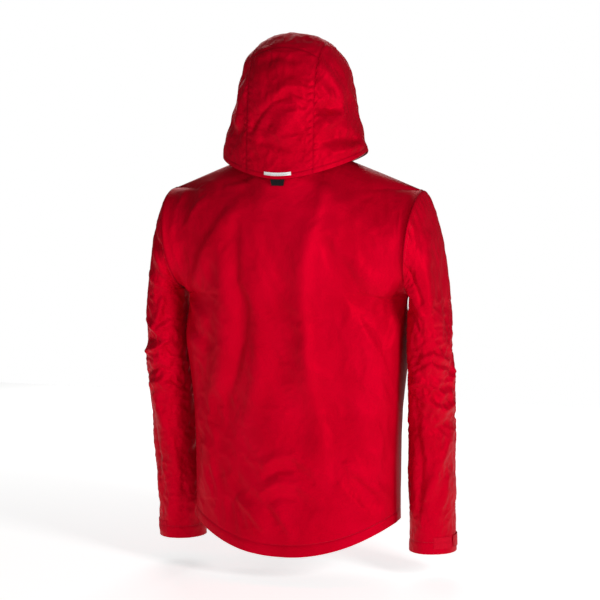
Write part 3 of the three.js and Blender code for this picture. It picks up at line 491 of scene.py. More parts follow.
BACK_FOLDS = (  # crest as (x, z), height, width, lean
    ([(-88, -34), (-73, -104), (-57, -171), (-50, -256), (-53, -351), (-66, -446), (-84, -541), (-88, -620)],
     9.5, 17, -0.3),
    ([(-84, -128), (-112, -190), (-152, -262), (-204, -340)], -8.0, 20, 0.25),
    ([(-78, -104), (-110, -138), (-152, -190), (-208, -246)], 6.0, 18, 0.2),
    ([(-40, -20), (-92, -50), (-150, -100), (-220, -150)], 6.0, 17, 0.2),
    ([(-110, -220), (-104, -330), (-118, -450), (-136, -560)], -4.5, 22, 0.0),
    ([(-150, -400), (-184, -436), (-222, -480)], 5.0, 11, 0.3),
    ([(-160, -300), (-180, -380), (-178, -520), (-170, -600)], 5.0, 20, 0.0),
    ([(-120, -560), (-160, -602), (-222, -652)], 6.0, 11, 0.3),
    ([(-136, -590), (-176, -640), (-212, -672)], -5.0, 9, 0.0),
    ([(-108, -600), (-150, -650), (-190, -690)], 5.0, 10, -0.3),
    ([(84, -96), (82, -160), (84, -220), (68, -260), (74, -332), (97, -408), (124, -470)], -7.0, 14, -0.35),
    ([(62, -60), (104, -96), (150, -160), (186, -240)], 6.0, 17, 0.3),
    ([(114, -140), (112, -260), (126, -370), (160, -470), (190, -520)], 6.5, 22, 0.2),
    ([(52, -190), (40, -300), (48, -410), (80, -500)], 5.0, 18, 0.2),
    ([(150, -500), (168, -560), (160, -650)], 5.5, 20, 0.2),
    ([(20, -70), (2, -190), (-2, -330), (6, -460)], -3.5, 26, 0.0),
    ([(40, -580), (8, -556), (-24, -552), (-72, -584)], 5.0, 9, 0.3),
    ([(34, -600), (4, -580), (-28, -578), (-66, -606)], -4.5, 8, 0.2),
    ([(48, -630), (6, -606), (-30, -606), (-82, -640)], 5.0, 9, 0.3),
    ([(30, -648), (0, -630), (-34, -632), (-70, -656)], -4.0, 8, 0.0),
    ([(96, -640), (64, -662), (30, -700)], 4.5, 11, 0.3),
    ([(70, -630), (36, -650), (-4, -700)], -4.0, 10, 0.0),
    ([(30, -640), (2, -668), (-30, -712)], 4.0, 9, 0.3),
    ([(226, -196), (196, -262), (150, -300)], 6.0, 11, -0.3),
    ([(222, -236), (190, -310), (140, -352)], -5.0, 11, 0.0),
    ([(-228, -196), (-200, -232), (-160, -262)], 5.0, 10, 0.3),
    ([(40, -16), (70, -34), (120, -44)], 3.5, 7, 0.2),
    ([(150, -60), (176, -84), (196, -120)], 4.0, 8, 0.2),
)
lift = sum(fold(x, z, *each) for each in BACK_FOLDS)
soft = rumple(*u.shape, CELL, 2.8, 70, 150, 8, seed=3)
small = rumple(*u.shape, CELL, 2.8, 34, 60, -25, seed=5)
fine = rumple(*u.shape, CELL, 2.8, 16, 22, 20, seed=7)
lift = lift + 2.0 * soft + 1.1 * creases(small, 0.7, 0.05) + 0.35 * creases(fine, 0.7, 0.05)
drawn_in = close_to(from_side, 2.2) + close_to(from_top, 2.2)
HEM_STITCH = 21  # the hem's stitching above its edge
stitched = close_to(from_hem - HEM_STITCH, 1.6)
lift = lift * free - 0.9 * np.minimum(drawn_in, 1) - 0.7 * stitched
lift = np.where(lift < 0, lift * mix(0.35, 1, eased(from_hem, 30, 90)), lift)
DEEPEST = -6  # valleys below this are eased off, clear of the lining
lift = np.where(lift < DEEPEST, DEEPEST + 0.3 * (lift - DEEPEST), lift)
# the hem is a little gathered along its stitching, and stands out below it where it is doubled
column_run = np.cumsum(np.full(u.shape, CELL), 0)
lift += 0.2 * stitched * np.sin(column_run / 2.1)
lift += 0.8 * eased(HEM_STITCH - from_hem, 0, 5)
back = back + away_from(INSIDE, back) * lift[:, :, None]
# painted shade: how much the finish darkens the colour in the grooves of the seams and the hem's stitching
seam_shade_mark = np.clip(0.35 * stitched + 0.5 * np.minimum(drawn_in, 1), 0, 1)
shell_back = cloth("shell_back", back, CLOTH, INSIDE, shell_cloth, seam=seam_shade_mark, backing=tricot)
assign(shell_back, "body", "shell_fabric", "back_panel")

# ---------------------------------------------------------------- sleeves
# Each sleeve is a tube of the same laminate, set into the round armhole with a gathered head and bent a
# little forward. It creases in zigzags inside the elbow, and the cuff is turned in 25 mm and stitched.
SLEEVE_LENGTH = 700
CUFF_Z = TIP_Z - SLEEVE_LENGTH
SLEEVE_TOP = ARMPIT_Z - 4
SLEEVE_GIRTH = 55  # millimetres round the sleeve for each radian
SEAM_GAP = 0.4  # between the sleeve's head and the armhole's edge


def sleeve_down(share):
    return mix(SLEEVE_TOP, CUFF_Z, share)


ELBOW_TOP, ELBOW_END = sleeve_down(0.166), sleeve_down(0.446)
sleeve_line = through([(CUFF_Z, 260, -151, 45.5, 53), (sleeve_down(0.806), 261, -141, 44.5, 56),
                       (sleeve_down(0.586), 263, -127, 43.5, 60), (sleeve_down(0.366), 266, -112, 43, 66),
                       (ELBOW_TOP, 266, -100, 41, 71), (SLEEVE_TOP, 264.8, -97, 36.2, 78)])


def sleeve_ring(sx, angle, z):
    """Points round a sleeve; the angle runs from its outer side over the back to the body side."""
    x = sleeve_line(z, 1) + sleeve_line(z, 3) * np.cos(angle)
    return np.stack([sx * x, sleeve_line(z, 2) + sleeve_line(z, 4) * np.sin(angle), z + 0 * angle], 2)


def sleeve_head(sx, angle, t):
    """Points from the armhole seam (t 0) to the first level ring (t 1)."""
    across, along = ARMHOLE_RADIUS * math.sin(TILT), ARMHOLE_RADIUS * math.cos(TILT)
    top = np.stack([sx * (ARMHOLE[0] + SEAM_GAP * math.cos(TILT) + across * np.cos(angle)),
                    ARMHOLE[1] + ARMHOLE_RADIUS * np.sin(angle),
                    ARMHOLE[2] - SEAM_GAP * math.sin(TILT) + along * np.cos(angle)], 2)
    low = sleeve_ring(sx, angle, np.full_like(angle, SLEEVE_TOP))
    bend = top + (low - top) * np.array([0.55, 0.5, 0.2])
    t = t[:, :, None]
    return top * (1 - t) ** 2 + bend * 2 * t * (1 - t) + low * t**2


# crests as (millimetres round, height), then height, width, lean; round 0 is the outer side
SLEEVE_FOLDS = {
    "right": (
        ([(20, -392), (66, -372), (116, -398)], 5.0, 9, 0.3),
        ([(14, -372), (60, -352), (96, -366)], 3.5, 8, 0.3),
        ([(30, -438), (84, -404), (128, -420)], 5.5, 10, -0.3),
        ([(10, -414), (50, -424), (98, -388)], -4.5, 8, 0.0),
        ([(-6, -452), (44, -462), (106, -424)], 4.5, 10, 0.3),
        ([(8, -484), (60, -500), (120, -458)], -3.8, 11, 0.0),
        ([(-10, -380), (20, -420), (6, -456)], 3.6, 9, 0.0),
        ([(0, -500), (44, -560), (90, -640)], 4.2, 17, 0.2),
        ([(110, -470), (96, -560), (104, -680)], -3.6, 14, 0.0),
        ([(26, -560), (34, -620), (70, -690)], 2.6, 12, 0.0),
        ([(130, -160), (100, -200), (80, -260)], -3.4, 9, 0.2),
        ([(138, -200), (112, -240), (76, -290)], 3.6, 9, 0.3),
        ([(134, -262), (106, -284), (78, -330)], -3.0, 8, 0.0),
        ([(28, -120), (56, -190), (60, -300)], 3.8, 17, 0.2),
        ([(-20, -150), (10, -230), (12, -320)], -3.2, 15, 0.0),
    ),
    "left": (
        ([(60, -160), (96, -196), (120, -222)], 3.6, 9, 0.3),
        ([(44, -206), (80, -226), (128, -246)], 3.2, 8, 0.3),
        ([(40, -300), (84, -322), (130, -302)], 4.2, 9, 0.3),
        ([(36, -340), (88, -346), (134, -372)], -4.0, 9, 0.0),
        ([(30, -372), (76, -362), (124, -338)], 4.6, 9, -0.3),
        ([(30, -412), (80, -400), (134, -410)], -4.6, 8, 0.0),
        ([(34, -436), (86, -424), (128, -440)], 4.0, 10, 0.3),
        ([(60, -450), (92, -520), (110, -620)], 4.0, 14, 0.2),
        ([(40, -470), (52, -560), (60, -660)], -3.0, 14, 0.0),
        ([(36, -120), (70, -150), (110, -168)], -3.0, 8, 0.0),
        ([(110, -250), (90, -300), (60, -330)], 3.0, 10, 0.0),
    ),
}
ROUND, HEAD, DOWN = 132, 40, 176
angle = np.linspace(-math.pi / 2, 1.5 * math.pi, ROUND, endpoint=False)
sleeve_grids, sleeves = {}, {}
for side, sx, seed in (("left", 1, 11), ("right", -1, 23)):
    t = np.linspace(0, 1, HEAD + 1)
    a, t = net(angle, t)
    head = sleeve_head(sx, a, t)
    b, low = net(angle, np.linspace(SLEEVE_TOP, CUFF_Z, DOWN + 1)[1:])
    grid = np.concatenate([head, sleeve_ring(sx, b, low)], 1)
    a = np.concatenate([a, b], 1)
    z = grid[:, :, 2]
    seam_run = np.concatenate([t, np.ones(b.shape)], 1)
    free = eased(seam_run, 0.03, 0.3) * mix(0.3, 1, eased(z, CUFF_Z + 12, CUFF_Z + 60))
    lift = sum(fold(a * SLEEVE_GIRTH, z, path, 1.7 * height, 0.85 * width, *rest)
               for path, height, width, *rest in SLEEVE_FOLDS[side])
    lift = lift + 1.1 * rumple(*a.shape, CELL, 2.8, 46, 90, 18 * sx, seed=seed)
    crumple = rumple(*a.shape, CELL, 2.8, 26, 24, 30 * sx, seed=seed + 1)
    near_elbow = close_to(z + 400, 90)
    lift = lift + (0.9 + 1.3 * near_elbow) * creases(crumple, 0.8, 0.04)
    creased = rumple(*a.shape, CELL, 2.8, 13, 15, -25 * sx, seed=seed + 2)
    lift = lift + 0.5 * creases(creased, 0.8, 0.04)
    # fullness gathered into the sleeve's head
    gather = np.sin(a * 31 + 2.2 * np.sin(a * 5 + seed)) * close_to(seam_run - 0.16, 0.12) * (z > -190)
    lift = lift * free + 1.1 * gather
    set_in = close_to(seam_run, 0.035)
    from_cuff = z - CUFF_Z
    stitched = close_to(from_cuff - 24, 1.6)
    lift = lift - 1.0 * set_in - 0.6 * stitched + 0.6 * eased(24 - from_cuff, 0, 4)
    middle = np.stack([sx * sleeve_line(z, 1), sleeve_line(z, 2), z], 2)
    grid = grid + away_from(middle, grid, closed=True) * lift[:, :, None]
    sleeve_grids[side] = grid
    # painted shade in the grooves of the set-in seam and the cuff's stitching
    mark = np.clip(0.5 * set_in + 0.3 * stitched, 0, 1)
    sleeve = cloth(f"sleeve_{side}", grid, CLOTH, (sx * 262, -120, -400), shell_cloth, closed=True,
                   seam=mark, backing=tricot)
    sleeves[side] = sleeve
    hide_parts(f"upper_sleeve_{side}", f"elbow_{side}", f"forearm_{side}")
    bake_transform(sleeve)

# ---------------------------------------------------------------- hood
# The hood is five panels of the laminate: a centre back that starts at the free lower edge, a crown, a
# stiffened brim and two sides. The long seams pucker a little, and the lower edge hangs over the back.
HOOD_Y, EQUATOR_Z, HOOD_TOP, BACK_REACH = -85, 95, 250, 110
HOOD_MIDDLE = np.array([0, HOOD_Y, EQUATOR_Z])
HOOD_SEAM_X = 66
FACE_ANGLE = math.radians(139)
HOOD_LOW = 60.4  # height at which the sides' two patches meet
BRIM_TURN = math.radians(143)
TURN_LOW = -(EQUATOR_Z - HOOD_LOW) / BACK_REACH


def hood_wide(z):
    return mix(115, 143, np.clip((120 - z) / 92, 0, 1) ** 1.1)


def hood_front_depth(z):
    return mix(94, 150, eased(z, 10, EQUATOR_Z + 20))


def onto_hood(q, hold_x=False):
    """Moves points out from the crown's centre, or level below the equator, to the hood's outer face."""
    dy, dz = q[..., 1] - HOOD_Y, q[..., 2] - EQUATOR_Z
    near, far = np.zeros(dy.shape), np.full(dy.shape, 4.0)

    def moved(t):
        return np.stack([q[..., 0] * (1 if hold_x else t), HOOD_Y + dy * t,
                         np.where(dz > 0, EQUATOR_Z + dz * t, q[..., 2])], -1)

    for _ in range(34):
        t = (near + far) / 2
        p = moved(t)
        depth = np.where(dy > 0, BACK_REACH, hood_front_depth(p[..., 2]))
        flat = np.hypot(p[..., 0] / hood_wide(p[..., 2]), (p[..., 1] - HOOD_Y) / depth)
        rise = np.maximum(p[..., 2] - EQUATOR_Z, 0) / (HOOD_TOP - EQUATOR_Z)
        outside = flat**2.4 + rise**2.4 > 1
        far, near = np.where(outside, t, far), np.where(outside, near, t)
    return moved(near)


def hood_arc(x, turn):
    """Points at a distance x from the middle; turn runs from the back edge over the crown to the brim."""
    low = turn < 0
    q = np.stack([x + 0 * turn, HOOD_Y + BACK_REACH * np.where(low, 1, np.cos(turn)),
                  EQUATOR_Z + BACK_REACH * np.where(low, turn, np.sin(turn))], -1)
    return onto_hood(q, True)


def foot_edge(a):
    a = abs(a)
    rising = mix(-25, 26, np.maximum(1 - np.cos(np.minimum(a, math.pi / 2)), 0) ** 0.9)
    return np.where(a < math.pi / 2, rising, mix(26, 2, eased(a, math.pi / 2, FACE_ANGLE)))


def round_hood(a, z):
    return onto_hood(np.stack([100 * np.sin(a), HOOD_Y + 100 * np.cos(a), z + 0 * a], -1))


def seam_angle(z):
    return np.arctan2(HOOD_SEAM_X, BACK_REACH * np.sqrt(1 - (HOOD_SEAM_X / hood_wide(z)) ** 2))


HOOD_FOLDS = (  # crests as (round the back, height): 0 is the centre back
    ([(66, 60), (42, 92), (10, 122), (-28, 130)], -4.2, 8, 0.3),
    ([(54, 86), (24, 112), (-14, 146), (-52, 150)], 3.4, 9, 0.3),
    ([(-6, 60), (-30, 92), (-44, 128)], 3.6, 15, 0.2),
    ([(20, 70), (-14, 52), (-52, 44)], 3.0, 8, 0.3),
    ([(40, 46), (4, 38), (-40, 26)], -2.6, 7, 0.0),
    ([(-66, 172), (-92, 138), (-112, 118)], 4.0, 10, 0.3),
    ([(-64, 96), (-92, 112), (-128, 104)], -4.2, 9, 0.0),
    ([(-62, 60), (-96, 74), (-140, 96)], 3.8, 11, 0.3),
    ([(-80, 196), (-118, 160), (-140, 100)], 3.6, 13, 0.0),
    ([(-74, 40), (-120, 52), (-170, 50)], -3.4, 10, 0.0),
    ([(-100, 20), (-150, 34), (-200, 40)], 3.0, 9, 0.2),
    ([(66, 150), (92, 120), (110, 60)], 3.6, 14, 0.0),
    ([(70, 70), (104, 64), (150, 80)], -3.2, 10, 0.0),
    ([(72, 190), (110, 170), (150, 120)], -3.0, 15, 0.0),
    ([(60, 196), (10, 204), (-50, 196)], -2.2, 8, 0.0),
)


def hood_cloth(name, grid, thick, seam_side, nodes, seed, edge=None, calm=1.0):
    """A panel of the hood with its folds.

    seam_side and edge give each point's distance to a sewn and to a turned edge; calm flattens stiff cloth.
    """
    a = np.arctan2(grid[..., 0], grid[..., 1] - HOOD_Y)
    reach = np.where(grid[..., 2] > EQUATOR_Z, 112, 118)
    z = grid[..., 2]
    lift = sum(fold(a * reach, z, path, 1.5 * height, *rest) for path, height, *rest in HOOD_FOLDS)
    lift = lift + 0.9 * rumple(*a.shape, 2, 2, 40, 40, 20, seed=seed)
    crumple = rumple(*a.shape, 2, 2, 20, 26, -20, seed=seed + 1)
    lift = lift + 0.65 * creases(crumple, 0.8, 0.04)
    run = grid[..., 2] + 0.6 * grid[..., 1]
    pucker = np.sin(run / 2.3 + 1.7 * np.sin(run / 11 + seed)) * close_to(seam_side - 5, 4.5)
    pucker = pucker * eased(seam_side, 0, 3.5)
    drawn = close_to(seam_side, 1.8)
    lift = calm * (lift * eased(seam_side, 0, 16) + 0.9 * pucker) - 0.7 * drawn
    # mark is painted shade: the finish darkens the colour in the grooves of the seams and the edge's
    # stitching
    mark = 0.4 * drawn
    if edge is not None:
        stitch = close_to(edge - 9, 1.3)
        lift = lift * mix(0.4, 1, eased(edge, 0, 24)) - 0.5 * stitch
        mark = mark + 0.5 * stitch
    moved = grid + away_from(HOOD_MIDDLE, grid) * lift[:, :, None]
    piece = cloth(name, moved, thick, (0, HOOD_Y, 60), shell_cloth, seam=np.clip(mark, 0, 1), backing=tricot)
    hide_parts(*nodes)
    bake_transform(piece)
    return piece


YOKE_TURN, BRIM_SEAM_TURN = math.radians(60), math.radians(122)
xs = np.linspace(-HOOD_SEAM_X - 0.5, HOOD_SEAM_X + 0.5, 65)  # the panels overlap by a hair at their seams
x_low, _ = net(xs, [0.0])
low_angle = np.arctan2(x_low, BACK_REACH * np.sqrt(1 - (x_low / 141) ** 2))
low_turn = (foot_edge(low_angle) - EQUATOR_Z) / BACK_REACH
CROWN_REACH = 120  # millimetres along the crown for each radian


def centre_strip(first, last, rows):
    v = np.linspace(0, 1, rows + 1)[None, :]
    turn = first + (last - first) * v + 0 * xs[:, None]
    return hood_arc(xs[:, None], turn), turn


grid, turn = centre_strip(low_turn, YOKE_TURN, 130)
sides = np.maximum(HOOD_SEAM_X - abs(xs[:, None]), 0)
to_yoke = (YOKE_TURN - turn) * CROWN_REACH
edge_back = (turn - low_turn) * BACK_REACH
centre_back = hood_cloth("hood_centre_back_panel", grid, CLOTH, np.minimum(sides, to_yoke),
                         ("hood_centre_back", "hood_foot"), 31, edge=edge_back)
grid, turn = centre_strip(YOKE_TURN, BRIM_SEAM_TURN, 70)
ends = np.minimum(turn - YOKE_TURN, BRIM_SEAM_TURN - turn) * CROWN_REACH
hood_cloth("hood_crown_panel", grid, CLOTH, np.minimum(sides, ends), ("hood_crown",), 37)
grid, turn = centre_strip(BRIM_SEAM_TURN, BRIM_TURN, 26)
BRIM_THICK = 2.4  # two layers of the laminate over a stiffener
hood_cloth("hood_brim_panel", grid, BRIM_THICK, np.minimum(sides, (turn - BRIM_SEAM_TURN) * CROWN_REACH),
           ("hood_brim",), 41, edge=(BRIM_TURN - turn) * CROWN_REACH, calm=0.4)

CORNER = 0.42  # share of the long seam that the side's lower patch takes
side_bases = {}
for side, sx, seed in (("left", 1, 43), ("right", -1, 47)):
    u = np.linspace(0, 1, 110)[:, None]
    foot_v = np.linspace(0, 1, 30)[None, :-1]
    # the foot, from the free edge up to the fold
    low_z = foot_edge(mix(seam_angle(0.0), FACE_ANGLE, u))
    z = low_z + (HOOD_LOW - low_z) * foot_v
    a = seam_angle(z) + (FACE_ANGLE - seam_angle(z)) * u
    foot = round_hood(sx * a, z)

    # the side itself, a patch between the fold, the long seam and the face opening
    def long_seam(s):
        return hood_arc(np.full(np.shape(s), sx * HOOD_SEAM_X, float), TURN_LOW + (BRIM_TURN - TURN_LOW) * s)

    def face(v):
        low_face = round_hood(np.array(sx * FACE_ANGLE), np.array(HOOD_LOW))
        high_face = long_seam(np.array(1.0))
        y = mix(low_face[1], high_face[1], v) - 14 * v * (1 - v)
        q = np.stack([mix(low_face[0], high_face[0], v**1.6), y, mix(low_face[2], high_face[2], v)], -1)
        return onto_hood(q)

    v = np.linspace(0, 1, 84)[None, :]
    start_angle = seam_angle(HOOD_LOW)
    base = round_hood(sx * mix(start_angle, FACE_ANGLE, u[:, 0]), np.full(len(u), HOOD_LOW))[:, None, :]
    high = long_seam(mix(CORNER, 1, u[:, 0]))[:, None, :]
    start, end = long_seam(CORNER * v[0])[None, :, :], face(v[0])[None, :, :]
    U, W = u[:, :, None], v[:, :, None]
    q = (base * (1 - W) + high * W + start * (1 - U) + end * U - base[:1] * (1 - U) * (1 - W)
         - base[-1:] * U * (1 - W) - high[:1] * (1 - U) * W - high[-1:] * U * W)
    side_bases[side] = onto_hood(q)
    grid = np.concatenate([foot, side_bases[side]], 1)
    steps = np.linalg.norm(np.diff(grid, axis=0), axis=2)
    from_back = np.vstack([np.zeros((1, grid.shape[1])), np.cumsum(steps, 0)])
    to_face = from_back[-1] - from_back
    steps = np.linalg.norm(np.diff(grid, axis=1), axis=2)
    from_foot = np.hstack([np.zeros((grid.shape[0], 1)), np.cumsum(steps, 1)])
    to_top = from_foot[:, -1:] - from_foot
    hood_cloth(f"hood_side_panel_{side}", grid, CLOTH, np.minimum(from_back, to_top),
               (f"hood_side_{side}", "hood_foot"), seed, edge=np.minimum(from_foot, to_face))

# ---------------------------------------------------------------- fronts
# Each front is one piece from the side seam to the zip, turned under at the zip's edge. The strip beside
# the zip swings open on a fold 62 mm from it, and the panel bends there.
EDGE_X = 3.8
FOLD_X = 62.2
FRONT_DEEPEST = -4  # valleys below this are eased off, clear of the lining and the pocket bags
FRONT_FOLDS = (
    ([(90, -60), (120, -160), (110, -280)], 4.5, 22, 0.2),
    ([(150, -110), (168, -220), (150, -360)], -4.0, 22, 0.0),
    ([(210, -220), (180, -260), (130, -300)], 4.0, 13, 0.3),
    ([(204, -260), (168, -310), (120, -350)], -3.2, 13, 0.0),
    ([(76, -240), (84, -400), (70, -560)], 3.6, 24, 0.0),
    ([(186, -420), (178, -540), (186, -650)], 4.0, 18, 0.2),
    ([(46, -120), (40, -300), (44, -520)], 2.2, 20, 0.0),
    ([(96, -640), (140, -655), (180, -648)], 2.8, 10, 0.3),
    ([(60, -600), (90, -640), (100, -680)], -2.6, 12, 0.0),
)
strip_x = np.linspace(EDGE_X, FOLD_X, 22)[:-1]
fold_u = FOLD_X / TIP_X
across = np.sin(math.pi / 2 * np.linspace(0, 1, 75))
front_rows = rows_up(160, 80)
front_grids, front_fields = {}, {}
for side, sx, seed in (("left", 1, 53), ("right", -1, 59)):
    columns = np.concatenate([strip_x / FOLD_X * fold_u, mix(fold_u, 1, across)])
    q, v = net(columns, front_rows)
    strip = q < fold_u - 1e-6
    w = np.clip((q - fold_u) / (1 - fold_u), 0, 1)
    hem = SIDE_HEM_Z - FRONT_DIP * np.where(strip, 1, 1 - q**2)
    x_top = np.where(strip, q / fold_u * FOLD_X, q * TIP_X)
    top = np.where(x_top > NECK_HALF, shoulder_z(x_top), neck_front_z(x_top))
    z = mix(hem, top, v)
    x = np.where(strip, x_top, mix(FOLD_X, half_width(z), w))
    grid = np.stack([sx * x, body_y(-1, x, z), z], 2)
    from_side = half_width(z) - x
    from_top = top - z
    from_zip = x - EDGE_X
    from_hem = z - hem
    pocket_x = mix(150, 122, np.clip((z + 600) / 160, 0, 1))
    near_pocket = close_to(x - pocket_x, 22) * eased(z, -640, -600) * eased(-z, 400, 440)
    free = (eased(from_side, 0, 26) * eased(from_top, 0, 26) * eased(from_zip, 10, 40)
            * mix(0.35, 1, eased(from_hem, 6, 60)) * (1 - near_pocket))
    lift = sum(fold(x, z, path, 1.7 * height, *rest) for path, height, *rest in FRONT_FOLDS)
    lift = lift + 1.3 * rumple(*x.shape, 2.8, 2.9, 60, 130, 8 * sx, seed=seed)
    crumple = rumple(*x.shape, 2.8, 2.9, 30, 50, -20 * sx, seed=seed + 1)
    lift = (lift + creases(crumple, 0.7, 0.05)) * free
    lift = np.where(lift < 0, lift * mix(0.35, 1, eased(from_hem, 30, 90)), lift)
    lift = np.where(lift < FRONT_DEEPEST, FRONT_DEEPEST + 0.4 * (lift - FRONT_DEEPEST), lift)
    drawn = np.minimum(close_to(from_side, 2.2) + close_to(from_top, 2.2), 1)
    stitched = close_to(from_hem - HEM_STITCH, 1.6) + close_to(from_zip - 9, 1.4)
    lift = lift - 0.9 * drawn - 0.5 * stitched
    grid = grid + away_from(INSIDE, grid) * lift[:, :, None]
    front_grids[side], front_fields[side] = grid, from_hem
    # painted shade in the grooves of the seams, the hem's stitching and the stitching beside the zip
    front = cloth(f"shell_front_{side}", grid, CLOTH, INSIDE, shell_cloth,
                  seam=np.clip(0.6 * drawn + 0.5 * stitched, 0, 1), backing=tricot)
    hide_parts(f"front_panel_{side}", f"front_edge_{side}")
    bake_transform(front)

# ---------------------------------------------------------------- lining, facings and label
# A thin polyester lining hangs free inside the body in shallow waves, and a black facing tape covers the
# raw edge of the hem. Pocket bags of the same lining lie between it and the fronts.
lining_cloth = two_tone("polyester_lining", "ShaderNodeTexVoronoi", {"Scale": 420.0}, "5c0a14", "841425",
                        field="Distance", relief=(0.4, 0.0005), Roughness=0.7, Sheen_Weight=0.3)[0]

# Black polyamide tape with cross ribs 1.5 mm apart: matt, the ribs catching a little light
black_tape, tree, shader, flecks = two_tone("ribbed_tape", "ShaderNodeTexNoise", {"Scale": 900.0}, "060608",
                                            "141417", Roughness=0.72, Specular_IOR_Level=0.2)
threads = put(tree, "ShaderNodeUVMap", uv_map="cloth")
ribs = put(tree, "ShaderNodeTexWave", {"Vector": threads.outputs["UV"], "Scale": 105.0}, bands_direction="Y")
ribbed = put(tree, "ShaderNodeBump", {"Height": ribs.outputs["Fac"], "Strength": 0.45, "Distance": 0.0004})
tree.links.new(ribbed.outputs["Normal"], shader.inputs["Normal"])


def body_layer(side, us, vs, depth, wave=0.0, seed=1):
    """A layer inside the body, its depth measured in from the shell; us may run on one front only."""
    u, v = net(us, vs)
    x_top = abs(u) * TIP_X
    neck = neck_back_z(x_top) if side > 0 else neck_front_z(x_top)
    top = np.where(x_top > NECK_HALF, shoulder_z(x_top), neck)
    hem = back_hem_z(u) if side > 0 else SIDE_HEM_Z - FRONT_DIP * (1 - u**2)
    z = mix(hem, top, v)
    x = u * half_width(z)
    grid = np.stack([x, body_y(side, x, z), z], 2)
    normal = outward(grid)
    normal = normal * np.sign((normal[..., 1] * side).mean())
    waves = np.clip(rumple(*u.shape, 6, 8, 70, 150, seed=seed), -1.5, 1.5)
    grid = grid - normal * (depth + wave * waves)[..., None]
    edge = ridge_y(grid[..., 0]) + side
    grid[..., 1] = np.maximum(grid[..., 1], edge) if side > 0 else np.minimum(grid[..., 1], edge)
    return grid


def sewn_layer(name, grid, thick, finish, body, slot, *nodes):
    assign(cloth(name, grid, thick, (0, -90, -300), finish), body, slot, *nodes)


LINING_THICK, TAPE_THICK, BAG_THICK, LABEL_THICK = 0.6, 0.7, 0.8, 0.4
lining_rows = rows_up(50, 26)[2:-3]
tape_rows = np.linspace(0.004, 0.034, 5)
bag_rows = np.linspace(0.13, 0.4, 30)
layer = body_layer(1, np.linspace(-0.96, 0.96, 70), lining_rows, 14.5, 0.8, 61)
sewn_layer("lining_back_cloth", layer, LINING_THICK, lining_cloth, "body", "lining", "lining_back")
layer = body_layer(1, np.linspace(-0.965, 0.965, 80), tape_rows, 3.2)
sewn_layer("hem_tape_back", layer, TAPE_THICK, black_tape, "body", "black_trim", "hem_facing_back")
for side, sx, seed in (("left", 1, 63), ("right", -1, 67)):
    layer = body_layer(-1, np.linspace(0.33, 0.96, 40) * sx, lining_rows, 13.5, 0.8, seed)
    sewn_layer(f"lining_front_cloth_{side}", layer, LINING_THICK, lining_cloth, "body", "lining",
               f"lining_front_{side}")
    layer = body_layer(-1, np.linspace(0.4, 0.82, 26) * sx, bag_rows, 8.5, 0.4, seed + 1)
    sewn_layer(f"pocket_bag_cloth_{side}", layer, BAG_THICK, lining_cloth, "body", "lining",
               f"pocket_bag_{side}")
    layer = body_layer(-1, np.linspace(0.43, 0.965, 40) * sx, tape_rows, 3.2)
    sewn_layer(f"hem_tape_front_{side}", layer, TAPE_THICK, black_tape, "body", "black_trim",
               f"hem_facing_front_{side}")

# Woven satin label, blank: off-white with a soft gloss and fine cross rows
label_cloth = two_tone("woven_satin", "ShaderNodeTexWave", {"Scale": 300.0}, "d9d7d0", "eeece6", bands="Y",
                       Roughness=0.45)[0]
layer = body_layer(1, np.linspace(-0.075, 0.075, 14), np.linspace(0.885, 0.935, 16), 16.2, 0.3, 71)
sewn_layer("blank_care_label", layer, LABEL_THICK, label_cloth, "body", "label", "care_label")

# ---------------------------------------------------------------- collar
# The collar stands inside the hood: two layers of laminate over a soft filling, with a row of topstitching
# near its edge. Its front ends belong to the zip's edges and swing with them.
COLLAR_Y = -84
COLLAR_MIDDLE = np.array([0, COLLAR_Y, 0])
COLLAR_THICK = 2.4
TOPSTITCH = 0.88  # share of the collar's height at which its topstitching runs
COLLAR_SPLIT = 0.9 / (math.pi * NECK_HALF)
EDGE_A = 1 - math.asin(62 / NECK_HALF) / math.pi
ZIP_A = 1 - math.asin(EDGE_X / NECK_HALF) / math.pi


def collar_point(a, h):
    """a runs from -1 over the centre back (0) to 1 at the centre front, h from the neck seam up."""
    sx, a = np.where(a < 0, -1.0, 1.0), abs(a)
    x = NECK_HALF * np.sin(math.pi * a)
    z = np.where(a > 0.5, neck_front_z(x), neck_back_z(x))
    y = np.where(a > 0.5, body_y(-1, x, z), body_y(1, x, z))
    base = np.stack([sx * x * (1 - 0.4 / 30), y, z + 0.4], -1)
    c = np.cos(math.pi * a)
    reach = np.where(c > 0, 84, COLLAR_Y - front_line(25))
    top = np.stack([sx * 82 * np.sin(math.pi * a), COLLAR_Y + reach * c, mix(62, 25, eased(a, 0.5, 1))], -1)
    return base + (top - base) * h[..., None]


def collar_cloth(name, first, last, columns, body, node, seed):
    a, h = net(np.linspace(first, last, columns), np.linspace(0.015, 1, 30))
    grid = collar_point(a, h)
    lift = 0.5 * rumple(*a.shape, 2.5, 2.5, 30, 24, seed=seed) * eased(h, 0, 0.3) * eased(1 - h, 0, 0.2)
    lift = lift - 0.5 * close_to(h - TOPSTITCH, 0.02) - 0.7 * close_to(h - 1, 0.02)
    # painted shade along the topstitching's groove
    piece = cloth(name, grid + away_from(COLLAR_MIDDLE, grid) * lift[..., None], COLLAR_THICK, COLLAR_MIDDLE,
                  shell_cloth, seam=0.4 * close_to(h - TOPSTITCH, 0.02), backing=tricot)
    assign(piece, body, "shell_fabric", node)


back_end, front_start = EDGE_A - COLLAR_SPLIT, EDGE_A + COLLAR_SPLIT
collar_cloth("collar_stand_back", -back_end, back_end, 150, "body", "collar_back", 73)
collar_cloth("collar_stand_left", front_start, ZIP_A, 40, "left_edge", "collar_front_left", 79)
collar_cloth("collar_stand_right", -front_start, -ZIP_A, 40, "right_edge", "collar_front_right", 83)

